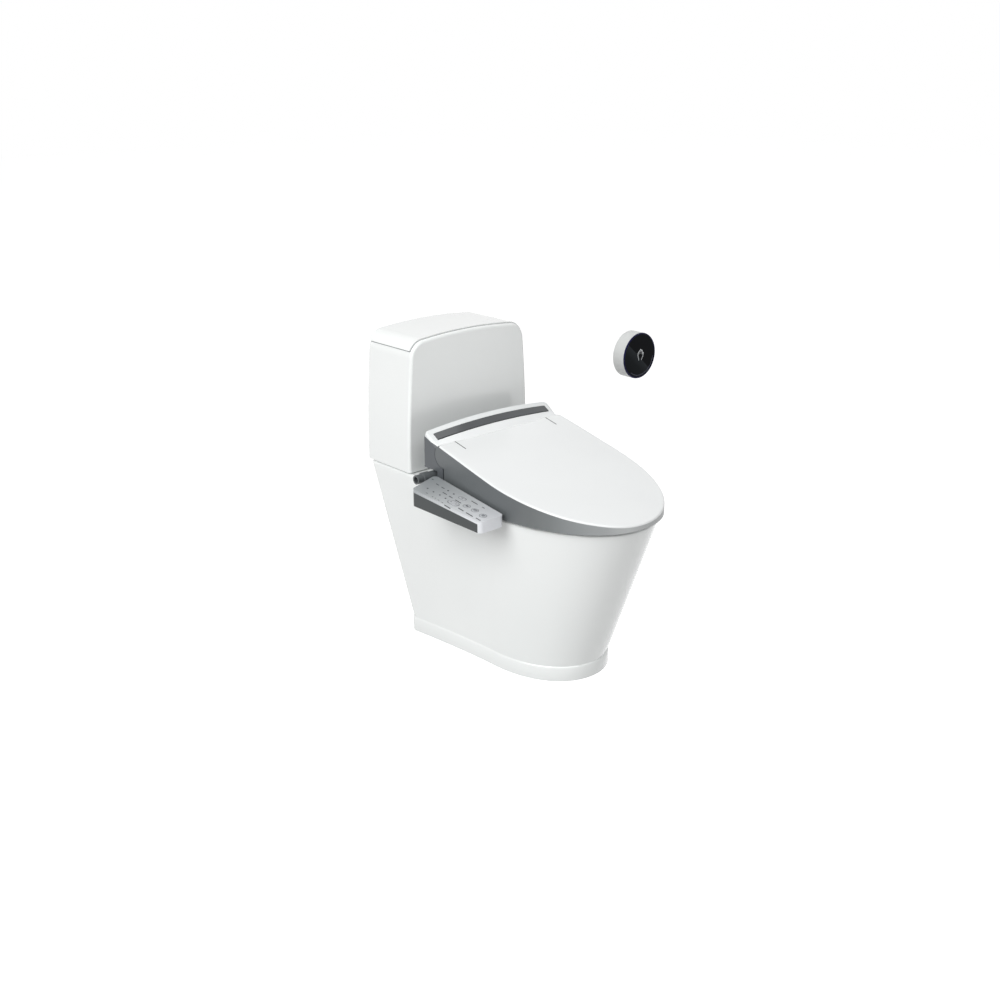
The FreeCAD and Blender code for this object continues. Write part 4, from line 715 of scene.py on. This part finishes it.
def windowStrip():
    # a closed ring round the strip's section, carried from end to end
    look = windowShape
    across = np.linspace(-look["half"], look["half"], 61)
    drawn = np.where(np.abs(across) >= look["half"], look["endRound"], 0)
    fore, back = look["fore"] + drawn, look["back"] - drawn
    steps = np.linspace(0, 1, 7)
    rings = []
    upper = [(share, look["proud"]) for share in steps]
    under = [(share, -look["sink"]) for share in steps[::-1]]
    for share, lift in upper + under:
        along = fore + (back - fore) * share
        rings.append(np.column_stack([across, along, housingTop(across, along) + lift]))
    grid = np.stack(rings, axis=1)
    faces = gridFaces(grid.shape[0], grid.shape[1])
    last = (grid.shape[0] - 1) * grid.shape[1]
    faces.append(list(range(grid.shape[1])))
    faces.append([last + corner for corner in reversed(range(grid.shape[1]))])
    piece = addPiece("windowStrip", grid.reshape(-1, 3), faces, "smokedWindow", "base")
    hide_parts("indicator_window")


windowStrip()
print("housing window ready")

# tank seams are the shadow lines under the lid's edge and behind the front lip
tankShape = {
    "halfLow": 184, "halfTop": 168, "low": 418, "side": 717, "rise": 11, "belly": 4, "shoulder": 42,
    "seam": 700, "front": 138.9, "back": 290, "lineTall": 1.7, "lineDeep": 1.3, "proud": 0.3,
    "lineSink": 1, "lineFlare": 0.4, "lineDrop": 0.5, "lineShort": 8,
}


def tankArch():
    # right half of the arch: bowed side, shoulder circle that touches side and head, flat head circle
    look = tankShape
    headRadius = (look["halfTop"] ** 2 + look["rise"] ** 2) / (2 * look["rise"])
    headCentre = look["side"] + look["rise"] - headRadius
    lean = (look["halfLow"] - look["halfTop"] + 4 * look["belly"]) / (look["side"] - look["low"])
    across, high = look["halfTop"] - look["shoulder"], look["side"] - look["shoulder"]
    for _ in range(30):
        across = look["halfTop"] + lean * (look["side"] - high) - look["shoulder"] * math.hypot(1, lean)
        high = headCentre + math.sqrt((headRadius - look["shoulder"]) ** 2 - across ** 2)
    start = math.asin(min(1, (look["seam"] - look["lineTall"] - high) / look["shoulder"]))
    end = math.atan2(high - headCentre, across)
    shoulder = circleOutline((across, high), look["shoulder"], 30, start, end, closed=False)
    head = circleOutline((0, headCentre), headRadius, 40, end, math.pi / 2, closed=False)
    return np.concatenate([shoulder, head[1:]])


def tankSeamShadows():
    # the arch mirrored to both sides, with a square section set off along its outward normals
    look = tankShape
    right = tankArch()
    path = np.concatenate([right, (right * [-1, 1])[-2::-1]])
    ahead = np.gradient(path, axis=0)
    outward = np.column_stack([ahead[:, 1], -ahead[:, 0]]) / np.linalg.norm(ahead, axis=1)[:, None]
    # the front line: a thin square bead of painted shadow along the arch
    proud, sink = look["proud"], -look["lineSink"]
    corners = [(proud, 0), (proud, -look["lineDeep"]), (sink, -look["lineDeep"]), (sink, 0)]
    rings = [np.column_stack([path[:, 0] + outward[:, 0] * lift, np.full(len(path), look["front"] + depth),
                              path[:, 1] + outward[:, 1] * lift]) for lift, depth in corners]
    grid = np.stack(rings, axis=1)
    points = grid.reshape(-1, 3).tolist()
    faces = gridFaces(len(path), 4)
    last = (len(path) - 1) * 4
    faces.extend([[0, 1, 2, 3], [last + 3, last + 2, last + 1, last]])
    # the side lines: a flat strip of painted shadow on each wall just under the lid
    half = float(path[0, 0])
    for side in (-1, 1):
        base = len(points)
        for along in (look["front"], look["back"] - look["lineShort"]):
            for across, high in ((half + proud, 0), (half + proud + look["lineFlare"], -look["lineTall"]),
                                 (half + sink, -look["lineTall"]), (half + sink, 0)):
                points.append([side * across, along, look["seam"] - look["lineDrop"] + high])
        faces.extend([[base + corner for corner in face] for face in gridFaces(2, 4)])
        faces.extend([[base, base + 1, base + 2, base + 3], [base + 7, base + 6, base + 5, base + 4]])
    piece = addPiece("tankSeamShadows", points, faces, "seamShade", "base")


tankSeamShadows()
print("tank seams ready")


def ribbon(path, width):
    # left and right edge of an open or closed line drawn with one pen width
    path = np.asarray(path, dtype=float)
    closed = bool(np.allclose(path[0], path[-1]))
    if closed:
        path = path[:-1]
        ahead = np.roll(path, -1, axis=0) - np.roll(path, 1, axis=0)
    else:
        ahead = np.gradient(path, axis=0)
    normal = np.column_stack([-ahead[:, 1], ahead[:, 0]])
    normal /= np.linalg.norm(normal, axis=1)[:, None]
    return path + normal * width / 2, path - normal * width / 2, closed


def spot(across, along, radius, count=20):
    # a filled round mark is a ribbon between a small and a full circle
    circle = circleOutline((0, 0), 1.0, count)
    centre = np.array([across, along])
    return centre + circle * radius, centre + circle * radius * 0.02, True


def markPiece(name, marks, place, worn, body, proud=0.12, sink=0.3):
    # every mark becomes a thin closed plate between its two edges, laid by the place function
    points, faces = [], []
    for left, right, closed in marks:
        count = len(left)
        base = len(points)
        for edge, lift in ((left, proud), (right, proud), (right, -sink), (left, -sink)):
            points.extend(place(edge[:, 0], edge[:, 1], lift).tolist())
        corners = np.array(gridFaces(4, count, ringRows=True, ringColumns=closed)) + base
        faces.extend(corners.tolist())
        if not closed:
            faces.append([base, base + count, base + 2 * count, base + 3 * count])
            faces.append([base + edge * count - 1 for edge in (4, 3, 2, 1)])
    piece = addPiece(name, points, faces, worn, body)


armShape = {
    "top": 443, "slope": 0.133, "keyProud": 0.9,
    "dotRadius": 2.0, "dotProud": 0.5, "rimPen": 1.1, "roundGap": 2.0, "longGap": 1.7, "cornerGap": 0.6,
    "keys": {"rear": (-238, -134, 6.0), "front": (-236, -158, 6.0), "dryer": (-238, -186, 6.0)},
    "stop": (-222, -101, 3.5, 8.0), "rocker": (-253, -108, 6.5, 13.0),
    "lamps": [(-255, -24), (-255, -44), (-253, -63), (-253, -82), (-224, -56), (-224, -75)],
    "dashes": [
        # across, from, to, width
        (-216.5, 9, 3, 2.6), (-224, -15, -25, 2.4), (-224.5, -34, -44, 2.2),
        (-239, -56, -69, 2.6), (-239, -77, -89, 2.6), (-239.5, -98, -117, 2.6),
        (-213, -120, -140, 2.4), (-212.5, -154, -162, 2.2),
        (-259, -131, -148, 3.0), (-259, -156, -177, 3.0), (-257.5, -186, -200, 2.8),
        (-275, -105, -124, 2.4), (-271, -38, -44, 1.4), (-271.5, -59, -64, 1.4), (-271, -68, -72, 1.4),
        (-271, -78, -83, 1.4), (-271.5, -91, -96, 1.4),
    ],
}


def onArm(across, along, lift):
    # the arm's sloping top plane, with the lift along its normal
    slope = armShape["slope"]
    length = math.hypot(1, slope)
    level = armShape["top"] + slope * along
    return np.column_stack([across, along - lift * slope / length, level + lift / length])


def onKey(across, along, lift):
    # the keys' faces lie parallel to the arm's top
    return onArm(across, along, lift + armShape["keyProud"])


def armMarks():
    # dashes and lamp dots lie on the arm's top, and a thin rim runs round each key
    look = armShape
    dashes = []
    for across, start, end, width in look["dashes"]:
        steps = np.linspace(start, end, 5)
        dashes.append(ribbon(np.column_stack([np.full(5, across), steps]), width))
    markPiece("armDashes", dashes, onArm, "printDark", "base")
    dots = [spot(across, along, look["dotRadius"]) for across, along in look["lamps"]]
    markPiece("armLampDots", dots, onArm, "printDark", "base", look["dotProud"])
    rims = []
    for across, along, radius in look["keys"].values():
        circle = circleOutline((across, along), radius + look["roundGap"], 49, closed=False)
        rims.append(ribbon(circle, look["rimPen"]))
    for across, along, half, reach in (look["stop"], look["rocker"]):
        gap = look["longGap"]
        box = roundedBox(across, along, half + gap, reach + gap, half + look["cornerGap"])
        rims.append(ribbon(box, look["rimPen"]))
    markPiece("armKeyRims", rims, onArm, "printGrey", "base")


def roundedBox(across, along, half, reach, corner):
    # a box of half width and half length with quarter circles at its corners, closed on itself
    turns = np.linspace(0, math.pi / 2, 8)
    line = []
    for side, end, start in ((1, 1, 0), (-1, 1, 1), (-1, -1, 2), (1, -1, 3)):
        swing = turns + start * math.pi / 2
        centre = (across + side * (half - corner), along + end * (reach - corner))
        line.append(np.column_stack([centre[0] + corner * np.cos(swing),
                                     centre[1] + corner * np.sin(swing)]))
    line = np.concatenate(line)
    return np.concatenate([line, line[:1]])


def keySymbols():
    look = armShape
    # rear wash: a dark drop
    across, along, _ = look["keys"]["rear"]
    turns = np.linspace(0, 2 * math.pi, 41)
    drop = np.column_stack([across + 3.1 * np.sin(turns) * np.sin(turns / 2),
                            along - 0.4 + 4.2 * np.cos(turns)])
    middle = np.array([across, along - 1.0])
    filled = (drop[:-1], middle + (drop[:-1] - middle) * 0.02, True)
    markPiece("rearWashMark", [filled], onKey, "printDark", "rear_key")
    # front wash: a fountain arc over a seat line
    across, along, _ = look["keys"]["front"]
    arc = circleOutline((across, along - 0.6), 3.4, 17, math.radians(-20), math.radians(200), closed=False)
    seat = np.column_stack([np.linspace(across - 3.4, across + 3.4, 5), np.full(5, along - 3.8)])
    marks = [ribbon(arc, 1.2), ribbon(seat, 1.2), spot(across, along - 0.6, 1.3)]
    markPiece("frontWashMark", marks, onKey, "printDark", "front_key")
    # dryer: three wavy lines of air
    across, along, _ = look["keys"]["dryer"]
    rise = np.linspace(-3, 3, 21)
    waves = [ribbon(np.column_stack([across + shift + 0.6 * np.sin(rise * 1.6), along + rise]), 1.0)
             for shift in (-2.2, 0, 2.2)]
    markPiece("dryerMark", waves, onKey, "printDark", "dryer_key")
    # stop: a plain square
    across, along, _, _ = look["stop"]
    square = roundedBox(across, along, 1.7, 1.7, 0.3)
    markPiece("stopMark", [ribbon(square, 0.8)], onKey, "printDark", "stop_key")
    # rocker: a plus at one end and a minus at the other
    across, along, _, _ = look["rocker"]
    rise = np.linspace(-2.2, 2.2, 5)
    plusSpot, minusSpot = along + 7.5, along - 7.5
    marks = [
        ribbon(np.column_stack([np.full(5, across), plusSpot + rise]), 0.9),
        ribbon(np.column_stack([across + rise, np.full(5, minusSpot)]), 0.9),
        ribbon(np.column_stack([across + rise, np.full(5, plusSpot)]), 0.9),
    ]
    markPiece("rockerMarks", marks, onKey, "printDark", "rocker")


armMarks()
keySymbols()
print("arm marks ready")

# the wall sensor's glass has a hand symbol and a fine light arc
sensorShape = {
    "across": 740, "high": 521, "face": 259,
    "handScale": 0.86, "handShift": (3, 1.5), "handPen": 1.5, "handProud": 0.25,
    "arcRadius": 55.5, "arcTurn": (-128, -8), "arcPen": 1.0, "arcProud": 0.2,
    "hand": [
        # across and up from the middle of the palm
        (5, -17), (8, -11), (12, -3), (14.5, 4), (13, 7.5), (10.5, 6), (8, 0), (8.6, 9), (7.6, 14.5),
        (5.4, 16), (3.4, 14), (2.8, 4), (2.3, 17), (0, 20), (-2.3, 17), (-2.8, 4), (-3.4, 14), (-5.4, 16),
        (-7.6, 14), (-8.3, 4), (-9, 9), (-11, 10), (-12.6, 7.5), (-12, -3), (-9.5, -10), (-7, -17),
    ],
}


def onSensor(across, high, lift):
    # the glass is upright, so the lift goes straight forward
    return np.column_stack([across, sensorShape["face"] - lift + 0 * across, high])


def sensorMarks():
    # an open hand drawn with one pen: wrist, thumb and four fingers; the line's corners are softened by
    # averaging each point with its neighbours
    look = sensorShape
    outline = np.array(look["hand"], dtype=float)
    distance = np.concatenate([[0], np.cumsum(np.linalg.norm(np.diff(outline, axis=0), axis=1))])
    steps = np.linspace(0, distance[-1], 200)
    path = np.column_stack([np.interp(steps, distance, outline[:, part]) for part in (0, 1)])
    for _ in range(2):
        inner = [np.convolve(path[:, part], np.ones(3) / 3, mode="valid") for part in (0, 1)]
        path = np.concatenate([path[:1], np.column_stack(inner), path[-1:]])
    middle = np.array([look["across"], look["high"]])
    path = path * look["handScale"] + (middle + look["handShift"])
    hand = [ribbon(path, look["handPen"])]
    markPiece("sensorHand", hand, onSensor, "symbolSilver", "base", look["handProud"])
    start, end = (math.radians(turn) for turn in look["arcTurn"])
    arc = circleOutline(middle, look["arcRadius"], 61, start, end, closed=False)
    glow = [ribbon(arc, look["arcPen"])]
    markPiece("sensorArc", glow, onSensor, "arcGlow", "base", look["arcProud"])


sensorMarks()
print("sensor ready")
